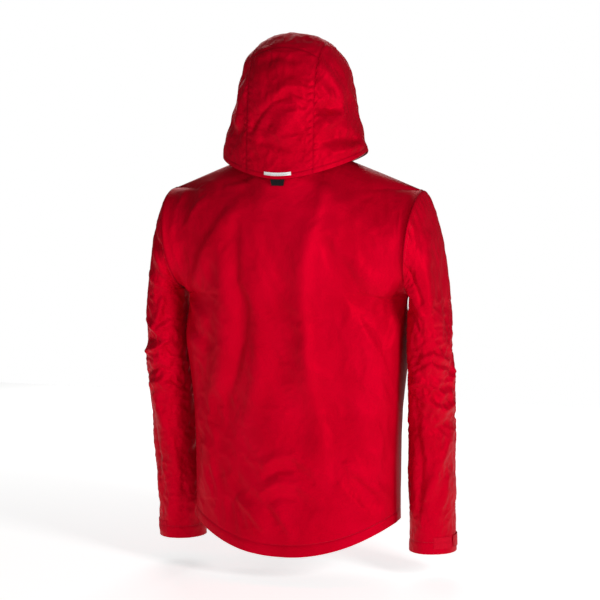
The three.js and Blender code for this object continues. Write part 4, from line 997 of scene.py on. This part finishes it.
a, h = net(np.linspace(ZIP_A - 0.09, ZIP_A - 0.006, 16), np.linspace(0.55, 0.98, 16))
grid = collar_point(a, h)
GUARD_DEPTH, GUARD_THICK = 4.75, 1.1
sewn_layer("chin_guard_fleece", grid - away_from(COLLAR_MIDDLE, grid) * GUARD_DEPTH, GUARD_THICK, tricot,
           "left_edge", "lining", "chin_guard")

# ---------------------------------------------------------------- front zip
# A coil zip runs from the hem to the collar's top. Each tape is a woven ribbon with its coil sewn along the
# edge, and the slider's two plates hold the coils together. Frame: x across, y in, z up the zip.
ZIP_BOTTOM_Z = SIDE_HEM_Z - 2
ZIP_TURN = math.atan2(FRONT_HIGH[0] - FRONT_LOW[0], FRONT_HIGH[1] - FRONT_LOW[1])
ZIP_LENGTH = (21 - ZIP_BOTTOM_Z) / math.cos(ZIP_TURN)
# the zip leans back as it rises, so its z axis points up and towards the wearer
ZIP_FOOT = Matrix.Translation((0, front_line(ZIP_BOTTOM_Z) - 0.2, ZIP_BOTTOM_Z))
ZIP_FRAME = ZIP_FOOT @ Matrix.Rotation(-ZIP_TURN, 4, "X")

# Dyed polyester coil: smooth, slightly glossy plastic
coil_plastic = two_tone("polyester_coil", "ShaderNodeTexNoise", {"Scale": 500.0}, "151517", "26262a",
                        coords="Object", Roughness=0.38)[0]

# Die-cast zinc with a dark electroplated finish: a metal whose gloss is a little cloudy where it is handled
zip_metal, tree, shader, clouds = two_tone(
    "plated_zinc", "ShaderNodeTexNoise", {"Scale": 260.0, "Detail": 3.0}, "3a3b40", "5c5e64", coords="Object",
    Metallic=0.95)
worn = put(tree, "ShaderNodeMapRange", {"Value": clouds.outputs["Fac"], "To Min": 0.26, "To Max": 0.42})
tree.links.new(worn.outputs["Result"], shader.inputs["Roughness"])


def laid(points, place):
    """Points in a frame of their own, taken to the jacket's."""
    flat = np.asarray(points, float).reshape(-1, 3)
    m = np.array(place)
    return (flat @ m[:3, :3].T + m[:3, 3]).reshape(np.shape(points))


def tape(name, x0, x1, y0, z0, z1, place, body, node, seed):
    x, z = net(np.linspace(x0, x1, 9), np.linspace(z0, z1, 200))
    wave = 0.12 * np.sin(z / 19 + seed) * abs(x - x0) / abs(x1 - x0)
    bead = -0.25 * close_to(abs(x) - 3.6, 0.5)
    grid = laid(np.stack([x, y0 + wave + bead, z], 2), place)
    back_of = laid([[0.0, 60.0, (z0 + z1) / 2]], place)[0]
    piece = cloth(name, grid, 0.6, back_of, black_tape)
    assign(piece, body, "zip_tape", node)


def bead_row(name, filled, segments, rings, follow):
    """A node tree that sets rounded beads along a line, one to each pitch and filling a share of it.

    With follow the beads turn along the line; otherwise they keep to its frame.
    """
    tree = bpy.data.node_groups.new(name, "GeometryNodeTree")
    for label, kind in (("Run", "Geometry"), ("Pitch", "Float"), ("Width", "Float"), ("Height", "Float"),
                        ("Finish", "Material")):
        tree.interface.new_socket(label, in_out="INPUT", socket_type="NodeSocket" + kind)
    tree.interface.new_socket("Row", in_out="OUTPUT", socket_type="NodeSocketGeometry")
    given, result = put(tree, "NodeGroupInput"), put(tree, "NodeGroupOutput")
    line = put(tree, "GeometryNodeMeshToCurve", {"Mesh": given.outputs["Run"]})
    spots = put(tree, "GeometryNodeCurveToPoints", {"Curve": line.outputs["Curve"],
                                                    "Length": given.outputs["Pitch"]}, mode="LENGTH")
    long = put(tree, "ShaderNodeMath", {0: given.outputs["Pitch"], 1: filled}, operation="MULTIPLY")
    size = put(tree, "ShaderNodeCombineXYZ", {"X": given.outputs["Width"], "Y": given.outputs["Height"],
                                              "Z": long.outputs[0]})
    bead = put(tree, "GeometryNodeMeshUVSphere", {"Segments": segments, "Rings": rings, "Radius": 0.5})
    placed = put(tree, "GeometryNodeInstanceOnPoints", {"Points": spots.outputs["Points"],
                                                        "Instance": bead.outputs["Mesh"],
                                                        "Scale": size.outputs[0]})
    if follow:
        tree.links.new(spots.outputs["Rotation"], placed.inputs["Rotation"])
    real = put(tree, "GeometryNodeRealizeInstances", {"Geometry": placed.outputs["Instances"]})
    done = put(tree, "GeometryNodeSetMaterial", {"Geometry": real.outputs["Geometry"],
                                                 "Material": given.outputs["Finish"]})
    tree.links.new(done.outputs["Geometry"], result.inputs["Row"])
    return tree


coil_tree = bead_row("coil_turns", 0.62, 8, 5, follow=False)


def run_mesh(name, path):
    """A wire mesh, in metres, of a path given in millimetres."""
    mesh = bpy.data.meshes.new(name)
    mesh.from_pydata((np.asarray(path) / 1000).tolist(), [(i, i + 1) for i in range(len(path) - 1)], [])
    return shown(name, mesh)


def grown(thing, tree, **values):
    """Runs a node tree on an object and keeps its result as a plain mesh."""
    modifier = thing.modifiers.new("grown", "NODES")
    modifier.node_group = tree
    for item in tree.interface.items_tree:
        if item.in_out == "INPUT" and item.name in values:
            modifier[item.identifier] = values[item.name]
    made = bpy.data.meshes.new_from_object(thing.evaluated_get(bpy.context.evaluated_depsgraph_get()))
    thing.modifiers.remove(modifier)
    thing.data = made
    made.shade_smooth()
    return thing


def coil(name, x, y, z0, z1, place, body, node, width=2.3, height=2.4, pitch=2.2):
    # the turns are long across the tape, so the row is laid in the zip's frame and then taken to its place
    thing = grown(run_mesh(name, [(x, y, z0), (x, y, z1)]), coil_tree, Pitch=pitch / 1000,
                  Width=width / 1000, Height=height / 1000, Finish=coil_plastic)
    points = np.array([p.co for p in thing.data.vertices]) * 1000
    thing.data.vertices.foreach_set("co", (laid(points, place) / 1000).astype(np.float32).ravel())
    thing.data.update()
    assign(thing, body, "zip_tape", node)


def plate(name, outline, y0, y1, place, bevel=0.35):
    """A flat metal plate from an outline in x and z, between two depths, with rounded edges."""
    n = len(outline)
    points = [(x, y, z) for y in (y0, y1) for x, z in outline]
    faces = [tuple(range(n)), tuple(range(2 * n - 1, n - 1, -1))]
    faces += [(i, i + n, (i + 1) % n + n, (i + 1) % n) for i in range(n)]
    mesh = bpy.data.meshes.new(name)
    mesh.from_pydata(points, [], faces)
    work = bmesh.new()
    work.from_mesh(mesh)
    bmesh.ops.recalc_face_normals(work, faces=work.faces)
    if bevel:
        bmesh.ops.bevel(work, geom=work.edges[:], offset=bevel, segments=2, affect="EDGES", profile=0.5)
    work.to_mesh(mesh)
    work.free()
    placed = laid(np.array([v.co for v in mesh.vertices]), place) / 1000
    mesh.vertices.foreach_set("co", placed.astype(np.float32).ravel())
    mesh.update()
    mesh.shade_smooth()
    mesh.set_sharp_from_angle(angle=math.radians(35))
    mesh.materials.append(zip_metal)
    return shown(name, mesh)


def joined(name, things, body, slot, *nodes):
    """Several plates made one piece."""
    work = bmesh.new()
    for thing in things:
        work.from_mesh(thing.data)
    mesh = things[0].data.copy()
    work.to_mesh(mesh)
    work.free()
    mesh.name = name
    for thing in things:
        bpy.data.objects.remove(thing)
    assign(shown(name, mesh), body, slot, *nodes)


def rounded(x0, x1, z0, z1, r, steps=5):
    """The outline of a rectangle with round corners."""
    corners = ((x1 - r, z1 - r, 0), (x0 + r, z1 - r, 90), (x0 + r, z0 + r, 180), (x1 - r, z0 + r, 270))
    turns = [(x, z, math.radians(a + 90 * i / steps)) for x, z, a in corners for i in range(steps + 1)]
    return [(x + r * math.cos(turn), z + r * math.sin(turn)) for x, z, turn in turns]


for side, sx, lag in (("left", 1, 1.1), ("right", -1, 0)):
    edge = f"{side}_edge"
    tape(f"zip_ribbon_{side}", sx * 0.7, sx * 14, 3.65, 0, ZIP_LENGTH, ZIP_FRAME, edge, f"zip_tape_{side}",
         sx)
    # the right coil's turns lie half a pitch below the left's, so that they mesh
    coil(f"zip_turns_{side}", sx * 1.75, 1.65, 13 + lag, ZIP_LENGTH - 5, ZIP_FRAME, edge, f"zip_coil_{side}")

SLIDER_TOP = ZIP_LENGTH - 2
spade = [(-4.1, 0), (-4.2, -4.5), (-3.5, -9), (-2.7, -12), (2.7, -12), (3.5, -9), (4.2, -4.5), (4.1, 0),
         (2.2, -0.4), (0, -1.6), (-2.2, -0.4)]
spade = [(x, z + SLIDER_TOP) for x, z in spade]
post = rounded(-0.28, 0.28, SLIDER_TOP - 5, SLIDER_TOP - 2, 0.2)
bridge = rounded(-0.8, 0.8, SLIDER_TOP - 9.5, SLIDER_TOP - 3, 0.7)
joined("zip_slider_body", [
    plate("slider_front", spade, -1.7, -0.35, ZIP_FRAME),
    plate("slider_rear", spade, 4.65, 6.0, ZIP_FRAME),
    plate("slider_post", post, -1.5, 5.5, ZIP_FRAME, 0),
    plate("slider_bridge", bridge, -1.95, -1.5, ZIP_FRAME, 0.15),
], "front_slider", "zip_metal", "zip_slider")


def pull_tag(name, y0, y1, top, place, body, node):
    """A slim pull: a metal tag that widens to a ribbed grip."""
    tag = [(-2, 0), (2, 0), (2.1, -7), (2.9, -11), (2.95, -23.5), (1.9, -25.8), (-1.9, -25.8),
           (-2.95, -23.5), (-2.9, -11), (-2.1, -7)]
    parts = [plate(name + "_tag", [(x, z + top) for x, z in tag], y0 + 0.25, y1, place, 0.25)]
    for i in range(6):
        z = top - 13 - 1.9 * i
        rib = rounded(-2.3, 2.3, z - 0.45, z + 0.45, 0.4)
        parts.append(plate(f"{name}_rib_{i}", rib, y0, y0 + 0.5, place, 0.1))
    joined(name, parts, body, "zip_metal", node)


pull_tag("front_zip_pull", -3.2, -2.0, SLIDER_TOP - 6, ZIP_FRAME, "front_pull", "zip_puller")
joined("zip_retainer_box", [
    plate("box_shell", rounded(0.4, 3.4, 1, 11.6, 0.8), 0.1, 3.2, ZIP_FRAME, 0.3),
    plate("box_step", rounded(0.8, 3.0, 3, 8, 0.5), -0.05, 0.4, ZIP_FRAME, 0.15),
], "left_edge", "zip_metal", "zip_box")
joined("zip_insert_pin", [
    plate("pin_shank", rounded(-1.6, -0.4, 1, 11.6, 0.5), 0.3, 3.0, ZIP_FRAME, 0.3),
    plate("pin_collar", rounded(-3.0, -0.5, 5, 11.4, 0.6), 0.5, 3.1, ZIP_FRAME, 0.3),
], "right_edge", "zip_metal", "zip_pin")

# the storm flap inside the zip: a doubled strip of laminate, sewn beside the left tape
columns = np.concatenate([np.linspace(-24, 22, 30), np.linspace(23, 26, 4)])
x, z = net(columns, np.linspace(2, ZIP_LENGTH - 66, 160))
y = 6.6 + 0.25 * np.sin(z / 31) * eased(-x, -20, 24)
grid = laid(np.stack([x, y, z], 2), ZIP_FRAME)
# painted shade along the stitching's groove
flap = cloth("storm_flap_cloth", grid, 1.1, laid([[0.0, 90.0, 300.0]], ZIP_FRAME)[0], shell_cloth,
             seam=0.5 * close_to(x + 20, 0.8))
assign(flap, "left_edge", "shell_fabric", "storm_flap")

# ---------------------------------------------------------------- hand pockets
# Each hand pocket opens on a slanted coil zip, finer than the front one, beside a folded and stitched welt
# of the shell cloth. Its slider has one plate on show and the same slim pull.
POCKET_TOP, POCKET_END = (122, SIDE_HEM_Z + 245), (150, SIDE_HEM_Z + 85)
PAST = 8  # millimetres of welt past each end of the opening
for side, sx in (("left", 1), ("right", -1)):
    def beside(t, dx):
        x = mix(POCKET_END[0], POCKET_TOP[0], t) + dx
        z = mix(POCKET_END[1], POCKET_TOP[1], t)
        return np.array([sx * x, float(body_y(-1, np.array(x), np.array(z))), z])

    low = beside(0, 0)
    along = beside(1, 0) - low
    length = np.linalg.norm(along)
    along = along / length
    out = unit(np.cross(along, beside(0.5, -9) - beside(0.5, 9)))
    out = out * (-1 if out[1] > 0 else 1)
    spots = np.linspace(-PAST / length, 1 + PAST / length, 11)
    bulge = max(np.dot(beside(t, dx) - low, out) for t in spots for dx in (-2.2, 2.2, 9))
    across_line = -np.cross(out, along)
    place = Matrix.Identity(4)
    for row in range(3):
        place[row][0], place[row][1], place[row][2] = across_line[row], -out[row], along[row]
        place[row][3] = low[row] + (bulge + 0.4) * out[row]
    x, z = net(np.linspace(2.7, 9, 12) * sx, np.linspace(-PAST, length + PAST, 110))
    rim = close_to(abs(x) - 2.7, 0.9) + close_to(abs(x) - 9, 0.9)
    y = -1.75 + 0.35 * rim + 0.25 * close_to(abs(x) - 7.4, 0.4) + 0.12 * np.sin(z / 9)
    behind = laid([[0.0, 80.0, 80.0]], place)[0]
    # painted shade along the welt's stitching groove
    welt = cloth(f"pocket_welt_{side}_cloth", laid(np.stack([x, y, z], 2), place), 1.3, behind, shell_cloth,
                 seam=0.6 * close_to(abs(x) - 7.4, 0.6))
    assign(welt, "body", "shell_fabric", f"pocket_welt_{side}")
    x, z = net(np.linspace(-2.2, 2.2, 12), np.linspace(-4, length + 4, 60))
    ribbed = np.stack([x, -0.75 + 0.1 * np.cos(x * 3), z], 2)
    ribbon = cloth(f"pocket_zip_tape_{side}", laid(ribbed, place), 0.6, behind, black_tape)
    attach(ribbon, "body")
    for row, dx, lag in (("near", 0.62, 0), ("far", -0.62, 0.9)):
        coil(f"pocket_zip_turns_{row}_{side}", dx, -1.3, lag - 3, length + lag, place, "body",
             f"pocket_zip_{side}", width=1.5, height=1.1, pitch=1.8)
    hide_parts(f"pocket_zip_{side}")
    spade = [(-3.5, 0), (-3.6, -4.5), (-3.0, -9), (-2.4, -12), (2.4, -12), (3.0, -9), (3.6, -4.5), (3.5, 0),
             (1.8, -0.4), (0, -1.4), (-1.8, -0.4)]
    bridge = rounded(-1.0, 1.0, length - 9.5, length - 2.5, 0.8)
    joined(f"pocket_slider_{side}_body", [
        plate("pocket_slider_low", [(x, z + length) for x, z in spade], -2.9, -1.95, place, 0.25),
        plate("pocket_slider_bridge", bridge, -4.25, -2.8, place, 0.3),
    ], f"{side}_pocket_runner", "zip_metal", f"pocket_slider_{side}")
    pull_tag(f"pocket_pull_{side}", -5.8, -4.6, length - 5, place, f"{side}_pocket_pull",
             f"pocket_puller_{side}")

# ---------------------------------------------------------------- hanger loop and eyelets
# A ribbon loop inside the neck, sewn into the collar seam, carries the jacket on its hook. Two rolled
# eyelets in the hem, where its cord would leave, are of the same plated metal as the zips' sliders.
WALL_Y = float(body_y(1, np.array(28.0), np.array(1.6))) - 3.2
left_half = [(-27.3, -7.9), (-27.3, -3), (-27.1, -0.6), (-26.2, 0.5), (-24, 0.85), (-12, 0.8)]
run = np.array([*left_half, (0, 0.8), *[(-x, z) for x, z in left_half[::-1]]])
s_run = np.concatenate([[0], np.cumsum(np.linalg.norm(np.diff(run, axis=0), axis=1))])
s_fine = np.linspace(0, s_run[-1], 90)
px, pz = np.interp(s_fine, s_run, run[:, 0]), np.interp(s_fine, s_run, run[:, 1])
ys = np.linspace(-4, WALL_Y - 0.3, 14)
grid = np.stack([px[:, None] + 0 * ys, ys + 0 * px[:, None], pz[:, None] + 0 * ys], 2)
sewn_loop = cloth("hanger_ribbon", grid, 1.0, (0, 0, -30), black_tape)
assign(sewn_loop, "body", "black_trim", "hanger_loop")

EYELET_DEPTH = 6.2  # from the shell's face in to the rim of the eyelet, behind the hem's facing
for side, sx in (("left", 1), ("right", -1)):
    def hem_point(u):
        u = np.array(u * sx)
        z = mix(back_hem_z(u), shoulder_z(abs(u) * TIP_X), 0.015)
        x = u * half_width(z)
        return np.array([float(x), float(body_y(1, x, z)), float(z)])

    at = hem_point(0.72)
    normal = unit(np.cross(hem_point(0.73) - at, (0, 0, 1)))
    normal = normal * (-1 if normal[1] < 0 else 1)
    turn = np.linspace(0, 2 * math.pi, 48, endpoint=False)
    profile = [(2.6, 0.25), (2.75, 0.0), (3.4, 0.0), (4.4, 0.1), (4.8, 0.3), (4.8, 0.9), (4.3, 1.2),
               (3.2, 1.2), (2.7, 1.1), (2.6, 0.9)]
    side_way = unit(np.cross(normal, (0, 0, 1)))
    up_way = np.cross(side_way, normal)
    centre = at - normal * EYELET_DEPTH
    spokes = [math.cos(t) * side_way + math.sin(t) * up_way for t in turn]
    points = [centre + normal * h + r * spoke for spoke in spokes for r, h in profile]
    n, rings = len(profile), len(turn)
    faces = [(i * n + j, i * n + (j + 1) % n, (i + 1) % rings * n + (j + 1) % n, (i + 1) % rings * n + j)
             for i in range(rings) for j in range(n)]
    mesh = bpy.data.meshes.new(f"rolled_eyelet_{side}")
    mesh.from_pydata((np.array(points) / 1000).tolist(), [], faces)
    work = bmesh.new()
    work.from_mesh(mesh)
    bmesh.ops.recalc_face_normals(work, faces=work.faces)
    work.to_mesh(mesh)
    work.free()
    mesh.shade_smooth()
    mesh.materials.append(zip_metal)
    assign(shown(f"rolled_eyelet_{side}", mesh), "body", "zip_metal", f"hem_eyelet_{side}")

# ---------------------------------------------------------------- cuffs
# The cuff closes with a laminate tab over a patch of loop tape, both sewn to the sleeve, and a ribbed
# facing lines it. The tab is quilted flat along its edges, and its free end is cut round.

# Loop tape dyed to match the shell: a dull, fuzzy pile
loop_pile = two_tone("loop_tape", "ShaderNodeTexVoronoi", {"Scale": 800.0}, "b2001c", "d00026",
                     field="Distance", relief=(0.6, 0.0006), Roughness=0.9, Specular_IOR_Level=0.1)[0]


def surface_of(piece):
    """A piece's faces, to lay trims on."""
    points = [v.co.copy() for v in piece.data.vertices]
    return BVHTree.FromPolygons(points, [list(face.vertices) for face in piece.data.polygons])


def laid_on(grid, surface, core, gap, least=-1.0):
    """Moves a grid of base points out along the line from the core to just above a folded surface."""
    done = grid.copy()
    for i, j in np.ndindex(grid.shape[:2]):
        base = grid[i, j]
        way = unit(base - core(base))
        hit = surface.ray_cast(Vector((base + way * 14) / 1000), Vector(-way), 0.03)[0]
        rise = least if hit is None else max(least, float(np.dot(np.array(hit) * 1000 - base, way)))
        done[i, j] = base + way * (rise + gap)
    return done


for side, sx in (("left", 1), ("right", -1)):
    def sleeve_core(base):
        z = np.array(base[2])
        return np.array([sx * float(sleeve_line(z, 1)), float(sleeve_line(z, 2)), base[2]])

    surface = surface_of(sleeves[side])
    a, z = net(np.linspace(0, 2 * math.pi, 80, endpoint=False), np.linspace(CUFF_Z + 0.4, CUFF_Z + 29, 8))
    grid = sleeve_ring(sx, a, z)
    middle = np.stack([sx * sleeve_line(z, 1), sleeve_line(z, 2), z], 2)
    inner = grid - unit(grid - middle) * 3.4
    facing = cloth(f"cuff_facing_tape_{side}", inner, 0.8, middle[0, 0], black_tape, closed=True)
    assign(facing, f"{side}_forearm", "black_trim", f"cuff_facing_{side}")
    # the patch first, then the tab, whose end is cut with round corners
    a, z = net(np.radians(np.linspace(20.5, 71.5, 30)), np.linspace(CUFF_Z + 10.5, CUFF_Z + 33.5, 14))
    grid = laid_on(sleeve_ring(sx, a, z), surface, sleeve_core, 0.75)
    patch = cloth(f"cuff_loop_pile_{side}", grid, 0.7, sleeve_core(grid[0, 0]), loop_pile)
    assign(patch, f"{side}_forearm", "shell_fabric", f"cuff_loop_patch_{side}")
    t, w = net(np.linspace(0.03, 1, 46), np.linspace(-1, 1, 17))
    half = 11.6 * np.sqrt(np.clip(1 - np.clip((t - 0.9) / 0.13, 0, 1) ** 2.6, 0.05, 1))
    a, z = np.radians(-53 + 71 * t), CUFF_Z + 22 + w * half
    grid = laid_on(sleeve_ring(sx, a, z), surface, sleeve_core, 1.8, 0.2)
    pinch = 0.4 * close_to(abs(w) - 0.8, 0.07) + 0.4 * close_to(t - 0.93, 0.02)
    pad = np.stack([sleeve_core(g) for g in grid.reshape(-1, 3)]).reshape(grid.shape)
    grid = grid - unit(grid - pad) * (0.35 * pinch)[:, :, None]
    # painted shade where the quilting pinches the tab, besides the dent it makes
    tab = cloth(f"cuff_tab_cloth_{side}", grid, 1.2, pad[20, 8], shell_cloth, seam=np.clip(pinch, 0, 0.5))
    assign(tab, f"{side}_tab", "shell_fabric", f"cuff_tab_{side}")

# ---------------------------------------------------------------- hood trims
# A plain reflective strip lies over the hood's lower edge at the back, and a black webbing tab hangs below
# it. Inside are the band to the neck seam and the face opening's binding.

# Heat-bonded film of glass beads: pale grey and bright, with a faint honeycomb
bead_film, tree, shader = material("glass_bead_film", Roughness=0.3, Metallic=0.15)
threads = put(tree, "ShaderNodeUVMap", uv_map="cloth")
cells = put(tree, "ShaderNodeTexVoronoi", {"Vector": threads.outputs["UV"], "Scale": 700.0},
            feature="DISTANCE_TO_EDGE")
edge = put(tree, "ShaderNodeMapRange", {"Value": cells.outputs["Distance"], "From Max": 0.12})
tone = put(tree, "ShaderNodeMix", {"Factor": edge.outputs["Result"], "A": linear("c3c5c6"),
                                   "B": linear("e9ebeb")}, data_type="RGBA")
tree.links.new(tone.outputs["Result"], shader.inputs["Base Color"])


def hood_core(base):
    return np.array([0.0, HOOD_Y, base[2]])


surface = surface_of(centre_back)
a, v = net(np.linspace(-0.1, 0.1, 60) * FACE_ANGLE, np.linspace(0.068, 0.142, 10))
z = mix(foot_edge(a), 60, v)
grid = laid_on(round_hood(a, z), surface, hood_core, 0.5)
strip = cloth("plain_reflective_strip", grid, 0.35, (0, HOOD_Y, 0), bead_film)
assign(strip, "body", "reflective", "hood_reflective_strip")

t, w = net(np.linspace(0, 1, 18), np.linspace(-1, 1, 28))
rim = 0.3 * close_to(abs(w) - 0.88, 0.05) + 0.3 * close_to(t - 0.86, 0.05)
grid = np.stack([w * mix(14, 11.5, t), HOOD_Y + BACK_REACH - 0.35 - rim + 0 * t, -25.7 - 11.8 * t], 2)
webbing = cloth("hood_webbing_tab", grid, 1.1, (0, HOOD_Y, -30), black_tape)
assign(webbing, "back_tab", "black_trim", "hood_back_tab")

around, v = net(np.linspace(-FACE_ANGLE, FACE_ANGLE, 150), np.linspace(0.01, 0.99, 14))
rim = round_hood(around, foot_edge(around))
depth = np.where(rim[..., 1] > HOOD_Y, BACK_REACH, hood_front_depth(rim[..., 2]))
out = np.stack([rim[..., 0] / hood_wide(rim[..., 2]) ** 2, (rim[..., 1] - HOOD_Y) / depth**2, 0 * v], 2)
outer = rim - unit(out) * 3.2 + np.array([0, 0, 1.5])
share = np.minimum(abs(around) / math.pi, EDGE_A - 0.01)
ring = collar_point(np.where(around < 0, -1, 1) * share, np.full(share.shape, 0.14))
away = ring - COLLAR_MIDDLE
away[..., 2] = 0
grid = outer + (ring + unit(away) * 1.7 - outer) * v[..., None]
grid[..., 2] += 0.35 * rumple(*v.shape, 4, 2, 30, 20, seed=91) * np.sin(math.pi * v)
sewn_layer("hood_neck_band_cloth", grid, 0.8, tricot, "body", "shell_fabric", "hood_neck_band")

# the binding follows the sides' front edges and the brim between them
left_rim = side_bases["left"][::-1][:12, :-2].transpose(1, 0, 2)
right_rim = side_bases["right"][::-1][:12, :-2].transpose(1, 0, 2)[::-1]
reach = np.linspace(0.002, 0.07, 12)
rim_x = xs[::-1][:, None] + 0 * reach
top_rim = hood_arc(rim_x, BRIM_TURN - (BRIM_TURN - TURN_LOW) * 0.58 * reach + 0 * rim_x)
grid = np.concatenate([left_rim, top_rim, right_rim], 0)
inner = grid - away_from(HOOD_MIDDLE, grid) * 3.7
piping = cloth("hood_face_binding", inner, 0.8, HOOD_MIDDLE, black_tape)
assign(piping, "hood", "black_trim", "hood_edge_binding")

# ---------------------------------------------------------------- stitching
# Lockstitch in matching red polyester thread runs along the hems, round the cuffs and below the sleeves'
# heads. The thread is drawn 0.45 mm thick, a little more than real, so that it can be seen.
thread_red = two_tone("polyester_thread", "ShaderNodeTexNoise", {"Scale": 1500.0}, "8e0418", "c9142c",
                      coords="Object", Roughness=0.5)[0]
THREAD_THICK = 0.00045
stitch_tree = bead_row("lockstitch", 0.8, 6, 4, follow=True)


def level_run(grid, field, value):
    """The line on a folded panel where a field, rising along its rows, reaches a value."""
    path = []
    for points, reach in zip(grid, field):
        over = np.nonzero(reach >= value)[0]
        if len(over) and over[0] > 0:
            j = over[0]
            share = (value - reach[j - 1]) / (reach[j] - reach[j - 1])
            path.append(points[j - 1] + (points[j] - points[j - 1]) * share)
    return np.array(path)


def stitches(name, path, pitch=3.2):
    thing = grown(run_mesh(name, path), stitch_tree, Pitch=pitch / 1000, Width=THREAD_THICK,
                  Height=THREAD_THICK, Finish=thread_red)
    return thing


def ringed(path):
    return np.vstack([path, path[:1]])


PROUD = 0.4  # how far up the cloth from the middle of its groove the thread runs
row = stitches("hem_stitches_back", level_run(back, from_hem, HEM_STITCH + PROUD))
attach(row, "body")
for side, sx in (("left", 1), ("right", -1)):
    row = stitches(f"hem_stitches_front_{side}",
                   level_run(front_grids[side], front_fields[side], HEM_STITCH + PROUD))
    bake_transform(row)
    sleeve = sleeve_grids[side]
    ring = level_run(sleeve[:, ::-1], sleeve[:, ::-1, 2] - CUFF_Z, 24 + PROUD)
    row = stitches(f"cuff_stitches_{side}", ringed(ring))
    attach(row, f"{side}_forearm")
    seam_run = np.concatenate([np.linspace(0, 1, HEAD + 1), np.ones(DOWN)])[None, :] + 0 * sleeve[:, :, 0]
    seam_run = seam_run + np.arange(sleeve.shape[1]) * 1e-6
    row = stitches(f"armhole_stitches_{side}", ringed(level_run(sleeve, seam_run, 0.14)))
    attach(row, f"{side}_arm")
